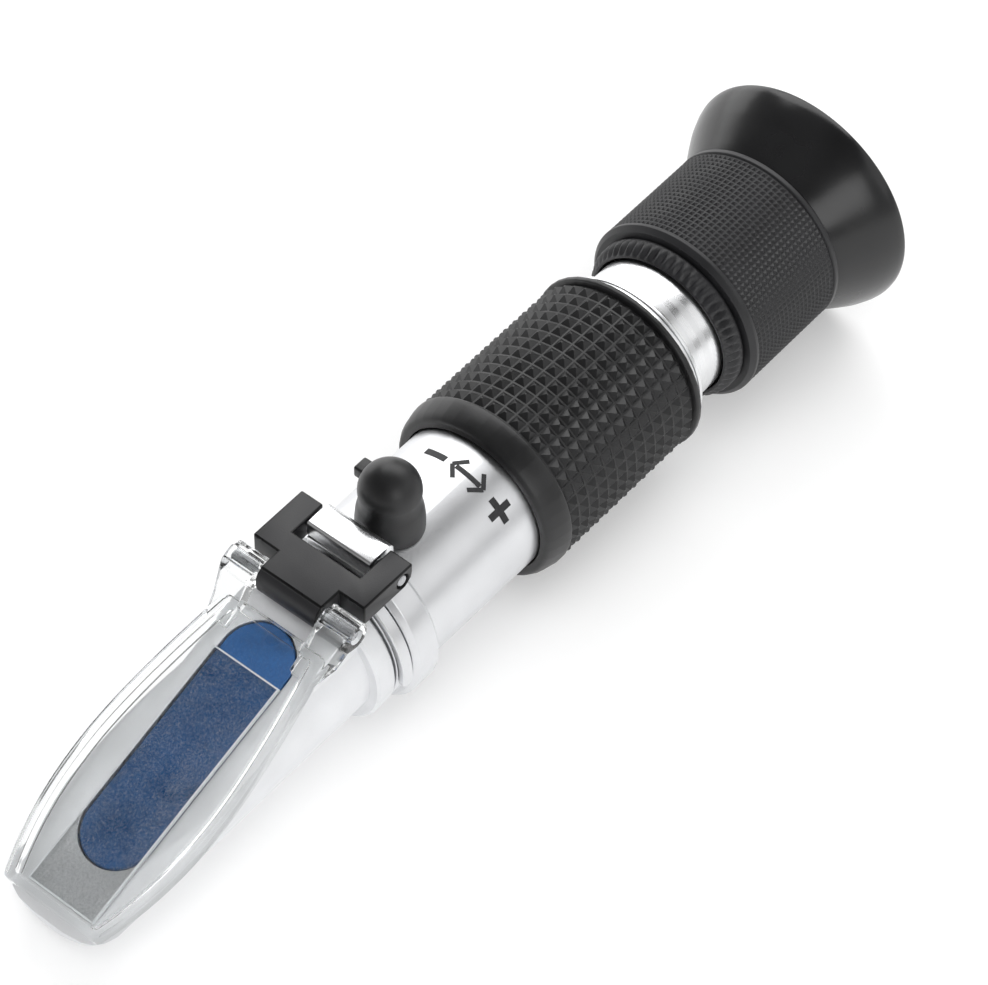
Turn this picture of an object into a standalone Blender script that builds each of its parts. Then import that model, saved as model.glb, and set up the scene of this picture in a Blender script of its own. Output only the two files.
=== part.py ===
"""Handheld refractometer: hinged daylight plate, prism head, adjustable objective and focusing eyepiece.

The optical axis is +X, from the light end to the rim of the eyecup. +Z is up, through the daylight
plate and the calibration cap. Every size and place below is in millimetres, measured along the
optical axis from the light end; the finished model's origin is the middle of its box. Outlines of
turned pieces are (distance along the axis, radius) points.
"""

import math

import bmesh
import bpy
from mathutils import Matrix, Vector

MM = 0.001
GAP = 0.3
LENGTH = 170.0

# Facets round a turned piece: the ones seen from outside, and the small ones inside.
FACETS = 40
INNER_FACETS = 20
SMALL_FACETS = 12
SMOOTH_ANGLE = math.radians(35)

# Head and prism face. The face leans down towards the light end.
HEAD_RADIUS = 10.8
FACE_START_Z = -6.2
FACE_SLOPE = 0.345
FACE_ANGLE = math.atan(FACE_SLOPE)
HEAD_END = 54.8
FLANGE_RADIUS = 12.6
FLANGE_END = 58.5
SPIGOT_RADIUS = 10.2
SPIGOT_END = 62.2
LIGHT_BORE = 6.5
SADDLE_HALF_WIDTH = 8.6
WINDOW_RADIUS = 5.95
WINDOW_START = 9.3
WINDOW_LENGTH = 41.9
PRISM_FLOOR = -7.4
PRISM_END = 49.0
SEAL_WIDTH = 0.7
SEAL_TOP = -1.5
SEAL_BOTTOM = -2.9

# Collar between the head and the tube.
COLLAR_START = FLANGE_END + GAP
COLLAR_STEP = 61.2
COLLAR_END = 66.5
COLLAR_RADIUS = 14.2
COLLAR_STEP_RADIUS = 12.5
STRAP_RADIUS = 13.7
STRAP_ARC = math.radians(200)
GRUB_ANGLES = (120, 180, 240)
GRUB_X = 60.0

# Main tube, grip and draw tube.
TUBE_START = 64.2
TUBE_END = 125.2
TUBE_RADIUS = 12.5
TUBE_BORE = 11.3
GRIP_START = 90.3
GRIP_RADIUS = 15.2
BEAD_RADIUS = 15.4
REAR_FLANGE_RADIUS = 13.9
REAR_FLANGE_END = 127.4
DRAW_SPIGOT_START = 117.5
DRAW_SPIGOT_RADIUS = 11.0
DRAW_RADIUS = 11.9
DRAW_BORE = 9.9
DRAW_END = 149.2
O_RING_X = 121.2

# Hinge of the daylight plate.
HINGE_TOP = 17.9
HINGE_UNDER = 14.2
LUG_PIN = Vector((62.8, 0.0, 15.9))
PLATE_PIN = Vector((51.6, 0.0, 15.4))
PIN_RADIUS = 0.9
PIN_HOLE = PIN_RADIUS + GAP
ARM_OUTSIDE = 10.2
ARM_INSIDE = 6.2
TONGUE_HALF_WIDTH = 5.6
LUG_HALF_WIDTH = 5.8
LUG_FRONT = 60.8
LUG_REAR = 66.0
LUG_TOP = 18.1
EAR_RADIUS = 2.7
EAR_INSIDE = 5.95
EAR_OUTSIDE = 11.4

# Daylight plate, in heights above the prism face.
PLATE_FRONT = 1.2
PLATE_REAR = 48.6
RIM_WIDTH = 1.9
RIM_UNDER = 0.4
RIM_TOP = 3.4
PANEL_UNDER = 1.2
PANEL_TOP = 2.3
PAD_START = 3.0
PAD_END = 41.8
PAD_HALF_WIDTH = 6.0
PAD_UNDER = 0.3
PAD_TOP = 0.9

# Calibration screw and its cap, on a vertical axis.
SCREW_AXIS = Vector((72.0, 0.0, 0.0))
SCREW_RADIUS = 1.6
BOSS_RADIUS = 2.7
BOSS_TOP = 16.2
CAP_BULB_RADIUS = 4.65
CAP_BULB_Z = 19.4
CAP_WALL = 0.95
CAP_SKIRT_RADIUS = 5.1
CAP_TOP = CAP_BULB_Z + CAP_BULB_RADIUS

# Objective carriage and the bimetal strip that carries it.
CARRIAGE_START = 69.0
CARRIAGE_END = 75.6
CARRIAGE_RADIUS = 9.7
STRIP_HALF_WIDTH = 2.5
STRIP_SCREWS = (85.3, 87.7)

# Eyepiece, focusing ring and eyecup.
BARREL_START = 133.0
BARREL_END = 156.2
BARREL_RADIUS = 9.5
BARREL_BORE = 8.3
LENS_RADIUS = BARREL_BORE - GAP
GUIDE_X = 143.0
GUIDE_SLOT_HALF = 4.0
RING_START = 137.5
RING_END = 158.8
RING_RADIUS = 15.6
RING_BORE = 12.3
NECK_RADIUS = 13.4
NECK_END = 161.2
CUP_START = RING_END + GAP
CUP_RADIUS = 20.0
TOOTHED_START = 134.1
TOOTHED_END = 137.2
TEETH = 24

# The middle of the model's box, where the finished model has its origin.
MIDDLE = Vector((LENGTH / 2, 0.0, (CAP_TOP - CUP_RADIUS) / 2))


# ---- scene helpers -------------------------------------------------------------------------------

def clear_scene():
    for item in list(bpy.data.objects):
        bpy.data.objects.remove(item, do_unlink=True)


def finish(name, colour, roughness, metallic=0.0):
    """A Principled material of one plain finish; colour is linear RGB."""
    made = bpy.data.materials.new(name)
    made.use_nodes = True
    shader = made.node_tree.nodes["Principled BSDF"]
    shader.inputs["Base Color"].default_value = (*colour, 1.0)
    shader.inputs["Roughness"].default_value = roughness
    shader.inputs["Metallic"].default_value = metallic
    made.diffuse_color = (*colour, 1.0)
    return made


def joint_axis(name, place, parent=None):
    """An empty on a joint's axis, which its pieces hang from."""
    axis = bpy.data.objects.new(name, None)
    axis.empty_display_size = 4 * MM
    bpy.context.scene.collection.objects.link(axis)
    axis["place"] = tuple(place)
    start = Vector(parent["place"]) if parent else MIDDLE
    axis.location = (Vector(place) - start) * MM
    axis.parent = parent
    return axis


def piece(name, bm, material, parent=None, smooth=True):
    """Turns a mesh drawn in millimetres into an object on its joint's axis, or on the model's origin."""
    place = Vector(parent["place"]) if parent else MIDDLE
    bmesh.ops.recalc_face_normals(bm, faces=bm.faces)
    bmesh.ops.translate(bm, verts=bm.verts, vec=-place)
    bmesh.ops.scale(bm, verts=bm.verts, vec=(MM, MM, MM))
    mesh = bpy.data.meshes.new(name)
    bm.to_mesh(mesh)
    bm.free()
    made = bpy.data.objects.new(name, mesh)
    bpy.context.scene.collection.objects.link(made)
    made.parent = parent
    if smooth:
        mesh.shade_smooth()
        mesh.set_sharp_from_angle(angle=SMOOTH_ANGLE)
    if material:
        mesh.materials.append(material)
    return made


def helper(name, bm, parent=None):
    """A solid that only cuts or joins others."""
    made = piece(name, bm, None, parent, smooth=False)
    made.hide_render = True
    made.display_type = "WIRE"
    return made


def combine(target, other, operation="DIFFERENCE"):
    modifier = target.modifiers.new(other.name, "BOOLEAN")
    modifier.operation = operation
    modifier.solver = "EXACT"
    modifier.object = other


# ---- shape helpers -------------------------------------------------------------------------------

def turning(along, place):
    """The matrix that lays the X axis along X, Y or Z and moves it to a place."""
    turns = {
        "X": Matrix(),
        "Y": Matrix.Rotation(math.radians(90), 4, "Z"),
        "Z": Matrix.Rotation(math.radians(-90), 4, "Y"),
    }
    return Matrix.Translation(place) @ turns[along]


def turned(outline, facets=INNER_FACETS, along="X", place=(0, 0, 0), arc=math.tau, start=0.0):
    """Spins an outline about an axis. One that ends on the axis makes a solid, a closed one a ring."""
    bm = bmesh.new()
    points = [bm.verts.new((distance, 0, radius)) for distance, radius in outline]
    whole = math.isclose(arc, math.tau)
    on_axis = outline[0][1] == 0
    pairs = list(zip(points, points[1:]))
    if not on_axis:
        pairs.append((points[-1], points[0]))
    edges = [bm.edges.new(pair) for pair in pairs]
    bmesh.ops.rotate(bm, verts=bm.verts, cent=(0, 0, 0), matrix=Matrix.Rotation(start, 3, "X"))
    spun = bmesh.ops.spin(
        bm, geom=points + edges, cent=(0, 0, 0), axis=(1, 0, 0), angle=arc, steps=facets, use_merge=whole
    )
    if on_axis:
        bmesh.ops.remove_doubles(bm, verts=bm.verts, dist=0.001)
    if not whole:
        bm.faces.new(points)
        last = {item for item in spun["geom_last"] if isinstance(item, bmesh.types.BMEdge)}
        bmesh.ops.contextual_create(bm, geom=list(last))
    bmesh.ops.transform(bm, matrix=turning(along, place), verts=bm.verts)
    return bm


def box(low, high, bevel=0.0):
    bm = bmesh.new()
    bmesh.ops.create_cube(bm, size=1.0)
    low, high = Vector(low), Vector(high)
    bmesh.ops.scale(bm, verts=bm.verts, vec=high - low)
    bmesh.ops.translate(bm, verts=bm.verts, vec=(low + high) / 2)
    if bevel:
        bmesh.ops.bevel(
            bm, geom=bm.edges[:], offset=bevel, segments=2, profile=0.5, affect="EDGES", clamp_overlap=True
        )
    return bm


def slab(points, low, high, matrix=Matrix()):
    """A flat outline raised from one height to another, then placed."""
    bm = bmesh.new()
    face = bm.faces.new([bm.verts.new((x, y, low)) for x, y in points])
    raised = bmesh.ops.extrude_face_region(bm, geom=[face])["geom"]
    top = [item for item in raised if isinstance(item, bmesh.types.BMVert)]
    bmesh.ops.translate(bm, verts=top, vec=(0, 0, high - low))
    bmesh.ops.transform(bm, matrix=matrix, verts=bm.verts)
    return bm


def side_profile(points, low, high):
    """A slab whose outline is given in X and Z, and which runs from one Y to another."""
    return slab(points, -high, -low, Matrix.Rotation(math.radians(90), 4, "X"))


def arc_points(centre, radius, start, end, steps):
    """Points on an arc, in degrees, from start to end inclusive."""
    angles = [math.radians(start + (end - start) * step / steps) for step in range(steps + 1)]
    return [(centre[0] + radius * math.cos(a), centre[1] + radius * math.sin(a)) for a in angles]


def rod(radius, low, high, along, place, facets=SMALL_FACETS, chamfer=0.15):
    outline = [
        (low, 0), (low, radius - chamfer), (low + chamfer, radius),
        (high - chamfer, radius), (high, radius - chamfer), (high, 0),
    ]
    return turned(outline, facets, along, place)


def bore(radius, low, high, along, place):
    return turned([(low, 0), (low, radius), (high, radius), (high, 0)], SMALL_FACETS, along, place)


def ring(start, end, inside, outside, chamfer=0.2):
    """The outline of a plain ring with its outer corners broken."""
    return [
        (start, inside), (start, outside - chamfer), (start + chamfer, outside),
        (end - chamfer, outside), (end, outside - chamfer), (end, inside),
    ]


def lens(front, back, radius, front_bulge, back_bulge, steps=4):
    """The outline of a lens with a flat edge; a bulge is how far a face stands out at its middle."""
    heights = [radius * step / steps for step in range(steps + 1)]
    front_face = [(front - front_bulge * (1 - (h / radius) ** 2), h) for h in heights]
    back_face = [(back + back_bulge * (1 - (h / radius) ** 2), h) for h in heights]
    return front_face + back_face[::-1]


# ---- the plane of the prism face -----------------------------------------------------------------

# Local X runs along the face towards the eye end, local Z stands straight out of it.
FACE = Matrix.Translation((0, 0, FACE_START_Z)) @ Matrix.Rotation(-FACE_ANGLE, 4, "Y")
ALONG_FACE = 1 / math.cos(FACE_ANGLE)


def stadium(radius, steps=10):
    """The window's outline in the face's own plane, its round ends on the same centres at any radius."""
    first = WINDOW_START * ALONG_FACE + WINDOW_RADIUS
    last = first + WINDOW_LENGTH - 2 * WINDOW_RADIUS
    return arc_points((first, 0), radius, 90, 270, steps) + arc_points((last, 0), radius, -90, 90, steps)


def plate_half_width(x):
    """Half the width of the daylight plate: a bow that is widest a little before its middle."""
    front, widest, rear = 8.3, 12.4, 8.9
    peak = 23.0
    if x < peak:
        return widest - (widest - front) * ((peak - x) / (peak - PLATE_FRONT)) ** 2.3
    return widest - (widest - rear) * ((x - peak) / (PLATE_REAR - peak)) ** 1.6


def plate_outline(inset, steps=14):
    """The plate's outline in the plane of the face, moved inwards by an inset."""
    start, end = PLATE_FRONT + inset * 0.7, PLATE_REAR - inset * 0.7
    stations = [start + (end - start) * step / steps for step in range(steps + 1)]
    left = [(x * ALONG_FACE, plate_half_width(x) - inset) for x in stations]
    return left + [(x, -y) for x, y in reversed(left)]


# ---- the head ------------------------------------------------------------------------------------

def make_head(satin):
    outline = [
        (0, 0), (0, 6.8), (0.5, 8.8), (1.8, 10.1), (3.8, HEAD_RADIUS), (HEAD_END, HEAD_RADIUS),
        (HEAD_END, FLANGE_RADIUS), (FLANGE_END - 0.4, FLANGE_RADIUS), (FLANGE_END, FLANGE_RADIUS - 0.4),
        (FLANGE_END, SPIGOT_RADIUS), (SPIGOT_END, SPIGOT_RADIUS), (SPIGOT_END, LIGHT_BORE),
        (PRISM_END - 2.5, LIGHT_BORE), (PRISM_END - 2.5, 0),
    ]
    head = piece("head_casting", turned(outline, FACETS), satin)
    saddle = box((36, -SADDLE_HALF_WIDTH, 4), (HEAD_END + 0.2, SADDLE_HALF_WIDTH, 16), bevel=0.8)
    combine(head, helper("head_saddle", saddle), "UNION")
    far = HEAD_END * ALONG_FACE + 6
    above = slab([(-8, -20), (far, -20), (far, 20), (-8, 20)], 0, 30, FACE)
    combine(head, helper("above_face", above))
    pocket = slab(stadium(WINDOW_RADIUS), -26, 1, FACE)
    bmesh.ops.bisect_plane(
        pocket, geom=pocket.verts[:] + pocket.edges[:] + pocket.faces[:],
        plane_co=(0, 0, PRISM_FLOOR - GAP), plane_no=(0, 0, -1), clear_outer=True,
    )
    cap_open_edges(pocket)
    combine(head, helper("prism_pocket", pocket))
    step = slab(stadium(WINDOW_RADIUS + SEAL_WIDTH + GAP), SEAL_BOTTOM - GAP, SEAL_TOP + GAP, FACE)
    combine(head, helper("seal_step", step))


def cap_open_edges(bm):
    """Closes what a plane cut left open."""
    bmesh.ops.holes_fill(bm, edges=[edge for edge in bm.edges if edge.is_boundary], sides=0)


def make_prism(glass, compound):
    bm = slab(stadium(WINDOW_RADIUS - GAP), -26, 0, FACE)
    cuts = (((0, 0, PRISM_FLOOR), (0, 0, -1)), ((PRISM_END, 0, 0), (1, 0, 0)))
    for point, normal in cuts:
        bmesh.ops.bisect_plane(
            bm, geom=bm.verts[:] + bm.edges[:] + bm.faces[:], plane_co=point, plane_no=normal, clear_outer=True
        )
        cap_open_edges(bm)
    piece("prism", bm, glass)
    outer = stadium(WINDOW_RADIUS + SEAL_WIDTH)
    inner = stadium(WINDOW_RADIUS)
    seal = piece("prism_seal", slab(outer, SEAL_BOTTOM, SEAL_TOP, FACE), compound)
    combine(seal, helper("seal_inside", slab(inner, SEAL_BOTTOM - 1, SEAL_TOP + 1, FACE)))


# ---- the collar and the hinge lug ----------------------------------------------------------------

def make_collar(satin, polished, steel):
    outline = [
        (COLLAR_START, SPIGOT_RADIUS + GAP), (COLLAR_START, COLLAR_STEP_RADIUS),
        (COLLAR_STEP, COLLAR_STEP_RADIUS), (COLLAR_STEP, 13.2), (COLLAR_STEP + 0.9, COLLAR_RADIUS),
        (COLLAR_END - 0.8, COLLAR_RADIUS), (COLLAR_END, 13.4), (COLLAR_END, TUBE_RADIUS + GAP),
        (TUBE_START - GAP, TUBE_RADIUS + GAP), (TUBE_START - GAP, SPIGOT_RADIUS + GAP),
    ]
    collar = piece("collar", turned(outline, FACETS), satin)
    tenon_low, tenon_high = (61.5, -3.5, 12.1), (63.3, 3.5, 15.2)
    margin = Vector((GAP, GAP, GAP))
    combine(collar, helper("tenon_pocket", box(Vector(tenon_low) - margin, Vector(tenon_high) + margin)))
    strap = [
        (COLLAR_START + 0.1, COLLAR_STEP_RADIUS + GAP), (COLLAR_START + 0.1, STRAP_RADIUS - 0.3),
        (COLLAR_START + 0.4, STRAP_RADIUS), (COLLAR_STEP - 0.6, STRAP_RADIUS),
        (COLLAR_STEP - GAP, STRAP_RADIUS - 0.3), (COLLAR_STEP - GAP, COLLAR_STEP_RADIUS + GAP),
    ]
    piece("hinge_strap", turned(strap, FACETS // 2, arc=STRAP_ARC, start=-STRAP_ARC / 2), satin)
    for number, angle in enumerate(GRUB_ANGLES, 1):
        lean = Matrix.Rotation(math.radians(angle), 4, "X")
        place = Vector((GRUB_X, 0, 0))
        screw = rod(1.0, SPIGOT_RADIUS + 0.4, COLLAR_STEP_RADIUS - 0.1, "Z", place)
        socket = bore(0.5, COLLAR_STEP_RADIUS - 1.0, COLLAR_STEP_RADIUS + 1, "Z", place)
        hole = bore(1.0 + GAP, SPIGOT_RADIUS - 1, COLLAR_RADIUS, "Z", place)
        for bm in (screw, socket, hole):
            bmesh.ops.transform(bm, matrix=lean, verts=bm.verts)
        grub = piece(f"collar_grub_{number}", screw, steel)
        combine(grub, helper(f"grub_socket_{number}", socket))
        combine(collar, helper(f"grub_hole_{number}", hole))
    make_lug(polished, steel, tenon_low, tenon_high)


def make_lug(polished, steel, tenon_low, tenon_high):
    outline = [
        (LUG_FRONT, 11), (LUG_REAR, 11), (LUG_REAR, LUG_TOP - 1.0), (LUG_REAR - 0.5, LUG_TOP - 0.3),
        (LUG_REAR - 1.2, LUG_TOP), (LUG_FRONT + 0.3, LUG_TOP), (LUG_FRONT, LUG_TOP - 0.3),
    ]
    lug = piece("hinge_lug", side_profile(outline, -LUG_HALF_WIDTH, LUG_HALF_WIDTH), polished)
    seat = turned([(50, 0), (50, COLLAR_RADIUS + GAP), (75, COLLAR_RADIUS + GAP), (75, 0)], FACETS)
    combine(lug, helper("lug_seat", seat))
    combine(lug, helper("lug_tenon", box(tenon_low, tenon_high)), "UNION")
    combine(lug, helper("lug_pin_hole", bore(PIN_HOLE, -12, 12, "Y", LUG_PIN)))
    piece("lug_pin", rod(PIN_RADIUS, -ARM_OUTSIDE + 0.1, ARM_OUTSIDE - 0.1, "Y", LUG_PIN), steel)


# ---- the hinge block and the daylight plate ------------------------------------------------------

def make_hinge_block(axis, plastic, steel):
    """A block shaped like an H: arms straddle the lug, a tongue sits between the plate's ears."""
    crossbar_front, crossbar_rear, arm_end = 54.6, 58.4, 64.9
    arm = [
        (crossbar_front, HINGE_UNDER), (arm_end - 1.6, HINGE_UNDER), (arm_end - 0.3, HINGE_UNDER + 1.0),
        (arm_end, HINGE_UNDER + 2.2), (arm_end - 0.3, HINGE_TOP - 0.4), (arm_end - 0.8, HINGE_TOP),
        (crossbar_front + 0.4, HINGE_TOP), (crossbar_front, HINGE_TOP - 0.4),
    ]
    block = piece("hinge_block", side_profile(arm, -ARM_OUTSIDE, ARM_OUTSIDE), plastic, axis, smooth=False)
    slot = box((crossbar_rear, -ARM_INSIDE, 10), (arm_end + 5, ARM_INSIDE, 22))
    combine(block, helper("lug_slot", slot, axis))
    tongue = [
        (49.6, 13.5), (50.6, 13.0), (crossbar_front - 0.8, 13.0), (crossbar_rear - 1.4, HINGE_UNDER + 0.2),
        (crossbar_rear - 1.4, HINGE_TOP - 0.2), (crossbar_front, HINGE_TOP), (50.9, HINGE_TOP),
        (50.2, HINGE_TOP - 0.5),
    ]
    tongue_bm = side_profile(tongue, -TONGUE_HALF_WIDTH, TONGUE_HALF_WIDTH)
    combine(block, helper("block_tongue", tongue_bm, axis), "UNION")
    combine(block, helper("arm_pin_hole", bore(PIN_HOLE, -15, 15, "Y", LUG_PIN), axis))
    combine(block, helper("tongue_pin_hole", bore(PIN_HOLE, -15, 15, "Y", PLATE_PIN), axis))
    bevel = block.modifiers.new("moulded_edges", "BEVEL")
    bevel.width = 0.15 * MM
    bevel.segments = 1
    bevel.limit_method = "ANGLE"
    bevel.angle_limit = math.radians(50)
    piece("plate_pin", rod(PIN_RADIUS, -EAR_OUTSIDE + 0.4, EAR_OUTSIDE - 0.4, "Y", PLATE_PIN), steel, axis)


def tapered(ear, side):
    """An ear narrowed towards the tray, so that its outside runs on from the tray's curve."""
    outward = 1 if side == "far" else -1
    start, end = Vector((43.6, 9.5 * outward, 0)), Vector((49.4, EAR_OUTSIDE * outward, 0))
    run = end - start
    bmesh.ops.bisect_plane(
        ear, geom=ear.verts[:] + ear.edges[:] + ear.faces[:], plane_co=start,
        plane_no=Vector((-run.y, run.x, 0)) * outward, clear_outer=True,
    )
    cap_open_edges(ear)
    return ear


def make_plate(axis, clear, frosted):
    """A clear tray: a raised rim round a thin panel, with two ears for the pin at its rear."""
    bm = bmesh.new()
    outer, inner = plate_outline(0.0), plate_outline(RIM_WIDTH)
    heights = (
        (inner, PANEL_UNDER), (inner, RIM_UNDER), (outer, RIM_UNDER), (outer, RIM_TOP - 0.4),
        (plate_outline(0.4), RIM_TOP), (inner, RIM_TOP), (inner, PANEL_TOP),
    )
    loops = [[bm.verts.new((x, y, height)) for x, y in outline] for outline, height in heights]
    for low, high in zip(loops, loops[1:]):
        for index in range(len(low)):
            after = (index + 1) % len(low)
            bm.faces.new((low[index], low[after], high[after], high[index]))
    bm.faces.new(loops[0])
    bm.faces.new(loops[-1])
    bmesh.ops.transform(bm, matrix=FACE, verts=bm.verts)
    plate = piece("daylight_plate", bm, clear, axis)
    rear_height = FACE_START_Z + FACE_SLOPE * PLATE_REAR
    web = [(44.2, rear_height - 0.8), (47.8, rear_height + 0.7), (49.6, PLATE_PIN.z - 1.8)]
    circle = arc_points((PLATE_PIN.x, PLATE_PIN.z), EAR_RADIUS, -110, 115, 12)
    ear = web + circle + [(48.4, PLATE_PIN.z + 1.2), (45.6, rear_height + 2.4), (43.6, rear_height + 1.2)]
    for side, (low, high) in {"far": (EAR_INSIDE, EAR_OUTSIDE), "near": (-EAR_OUTSIDE, -EAR_INSIDE)}.items():
        combine(plate, helper(f"{side}_ear", tapered(side_profile(ear, low, high), side), axis), "UNION")
    passage = [(PLATE_REAR - 2.2, -5.4), (PLATE_REAR + 2, -5.4), (PLATE_REAR + 2, 5.4), (PLATE_REAR - 2.2, 5.4)]
    passage = [(x * ALONG_FACE, y) for x, y in passage]
    combine(plate, helper("rear_passage", slab(passage, PANEL_TOP, RIM_TOP + 2, FACE), axis))
    combine(plate, helper("ear_pin_hole", bore(PIN_HOLE, -15, 15, "Y", PLATE_PIN), axis))
    start, end = PAD_START * ALONG_FACE, PAD_END * ALONG_FACE
    corners = [(start, -PAD_HALF_WIDTH), (end, -PAD_HALF_WIDTH), (end, PAD_HALF_WIDTH), (start, PAD_HALF_WIDTH)]
    piece("diffuser_pad", slab(corners, PAD_UNDER, PAD_TOP, FACE), frosted, axis, smooth=False)


# ---- the tube and what it holds ------------------------------------------------------------------

def make_tube(satin, bright, rubber, black, glass, steel, bimetal):
    tube = piece("main_tube", turned(ring(TUBE_START, TUBE_END, TUBE_BORE, TUBE_RADIUS), FACETS), satin)
    combine(tube, helper("boss_hole", bore(BOSS_RADIUS + GAP, 5, 20, "Z", SCREW_AXIS)))
    grip = [
        (GRIP_START, TUBE_RADIUS + GAP), (GRIP_START, 13.5), (GRIP_START + 0.6, 14.4), (GRIP_START + 1.9, 15.1),
        (GRIP_START + 3.6, GRIP_RADIUS), (TUBE_END - 1.3, GRIP_RADIUS), (TUBE_END - 1.0, BEAD_RADIUS),
        (TUBE_END - 0.4, BEAD_RADIUS), (TUBE_END, BEAD_RADIUS - 0.4), (TUBE_END, TUBE_RADIUS + GAP),
    ]
    piece("grip_sleeve", turned(grip, FACETS), rubber)
    flange = [
        (TUBE_END + GAP, DRAW_SPIGOT_RADIUS + GAP), (TUBE_END + GAP, REAR_FLANGE_RADIUS - 0.3),
        (TUBE_END + 0.7, REAR_FLANGE_RADIUS), (REAR_FLANGE_END - 0.8, REAR_FLANGE_RADIUS),
        (REAR_FLANGE_END, REAR_FLANGE_RADIUS - 0.8), (REAR_FLANGE_END, DRAW_SPIGOT_RADIUS + GAP),
    ]
    piece("rear_flange", turned(flange, FACETS), bright)
    make_draw_tube(bright, rubber)
    piece("front_stop", turned(ring(SPIGOT_END + 0.4, TUBE_START - 0.6, 4.5, SPIGOT_RADIUS)), black)
    piece("light_baffle", turned(ring(96.0, 97.2, 6.0, TUBE_BORE - GAP)), black)
    cell = [
        (108.0, 7.6), (108.0, 11.0), (114.0, 11.0), (114.0, 9.3), (109.4, 9.3), (109.4, 7.6),
    ]
    piece("reticle_cell", turned(cell), black)
    piece("reticle", turned([(109.8, 0), (109.8, 9.0), (111.2, 9.0), (111.2, 0)]), glass)
    piece("reticle_ring", turned(ring(111.6, 113.6, 7.8, 9.0)), black)
    make_strip(steel, bimetal, black)


def make_draw_tube(bright, rubber):
    groove = (O_RING_X - 0.9, O_RING_X + 0.9)
    shoulder = REAR_FLANGE_END + GAP
    outline = [
        (DRAW_SPIGOT_START, 8.9), (DRAW_SPIGOT_START, DRAW_SPIGOT_RADIUS), (groove[0], DRAW_SPIGOT_RADIUS),
        (groove[0], 10.0), (groove[1], 10.0), (groove[1], DRAW_SPIGOT_RADIUS), (shoulder, DRAW_SPIGOT_RADIUS),
        (shoulder, DRAW_RADIUS), (DRAW_END, DRAW_RADIUS), (DRAW_END, DRAW_BORE), (130.0, DRAW_BORE), (130.0, 8.9),
    ]
    draw = piece("draw_tube", turned(outline, FACETS), bright)
    slot = box((GUIDE_X - GUIDE_SLOT_HALF, -1.2, -14), (GUIDE_X + GUIDE_SLOT_HALF, 1.2, -5))
    combine(draw, helper("guide_slot", slot))
    o_ring = [(x, r) for x, r in arc_points((O_RING_X, 10.6), 0.4, 0, 315, 7)]
    piece("tube_o_ring", turned(o_ring), rubber)


def make_strip(steel, bimetal, black):
    """The temperature strip: clamped behind the carriage, it reaches forward under the objective."""
    anchor = piece("strip_anchor", box((84.0, -3.2, -10.6), (89.0, 3.2, -8.5), 0.2), black, smooth=False)
    bend = [(CARRIAGE_END + 0.4 + 0.9 * step, -7.9 + 0.2 * math.sin(math.pi * step / 14)) for step in range(15)]
    outline = [(x, z - 0.3) for x, z in bend] + [(x, z + 0.3) for x, z in reversed(bend)]
    strip = piece("bimetal_strip", side_profile(outline, -STRIP_HALF_WIDTH, STRIP_HALF_WIDTH), bimetal)
    for number, x in enumerate(STRIP_SCREWS, 1):
        place = Vector((x, 0, 0))
        outline = [(-10.2, 0), (-10.2, 0.6), (-7.1, 0.6), (-7.1, 1.1), (-6.5, 1.1), (-6.3, 0.9), (-6.3, 0)]
        screw = piece(f"strip_screw_{number}", turned(outline, SMALL_FACETS, "Z", place), steel)
        combine(screw, helper(f"strip_slot_{number}", box((x - 0.2, -2, -6.6), (x + 0.2, 2, -6))))
        hole = helper(f"strip_hole_{number}", bore(0.9, -12, -7, "Z", place))
        combine(strip, hole)
        combine(anchor, hole)


# ---- calibration ---------------------------------------------------------------------------------

def make_calibration(screw_axis, cap_axis, brass, steel, rubber):
    boss = [
        (10.9, SCREW_RADIUS + GAP), (10.9, BOSS_RADIUS), (12.9, BOSS_RADIUS), (12.9, 3.6), (13.7, 3.6),
        (13.9, 3.4), (13.9, BOSS_RADIUS), (BOSS_TOP, BOSS_RADIUS), (BOSS_TOP, SCREW_RADIUS + GAP),
    ]
    piece("calibration_boss", turned(boss, INNER_FACETS, "Z", SCREW_AXIS), brass)
    head = BOSS_TOP + GAP
    screw = [
        (10.4, 0), (10.4, SCREW_RADIUS - 0.4), (10.8, SCREW_RADIUS), (head, SCREW_RADIUS), (head, 2.4),
        (head + 1.1, 2.4), (head + 1.4, 2.1), (head + 1.4, 0),
    ]
    made = piece("calibration_screw", turned(screw, INNER_FACETS, "Z", SCREW_AXIS), steel, screw_axis)
    low, high = (SCREW_AXIS.x - 3, -0.35, head + 0.6), (SCREW_AXIS.x + 3, 0.35, head + 3)
    combine(made, helper("driver_slot", box(low, high), screw_axis))
    make_cap(cap_axis, rubber)


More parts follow.
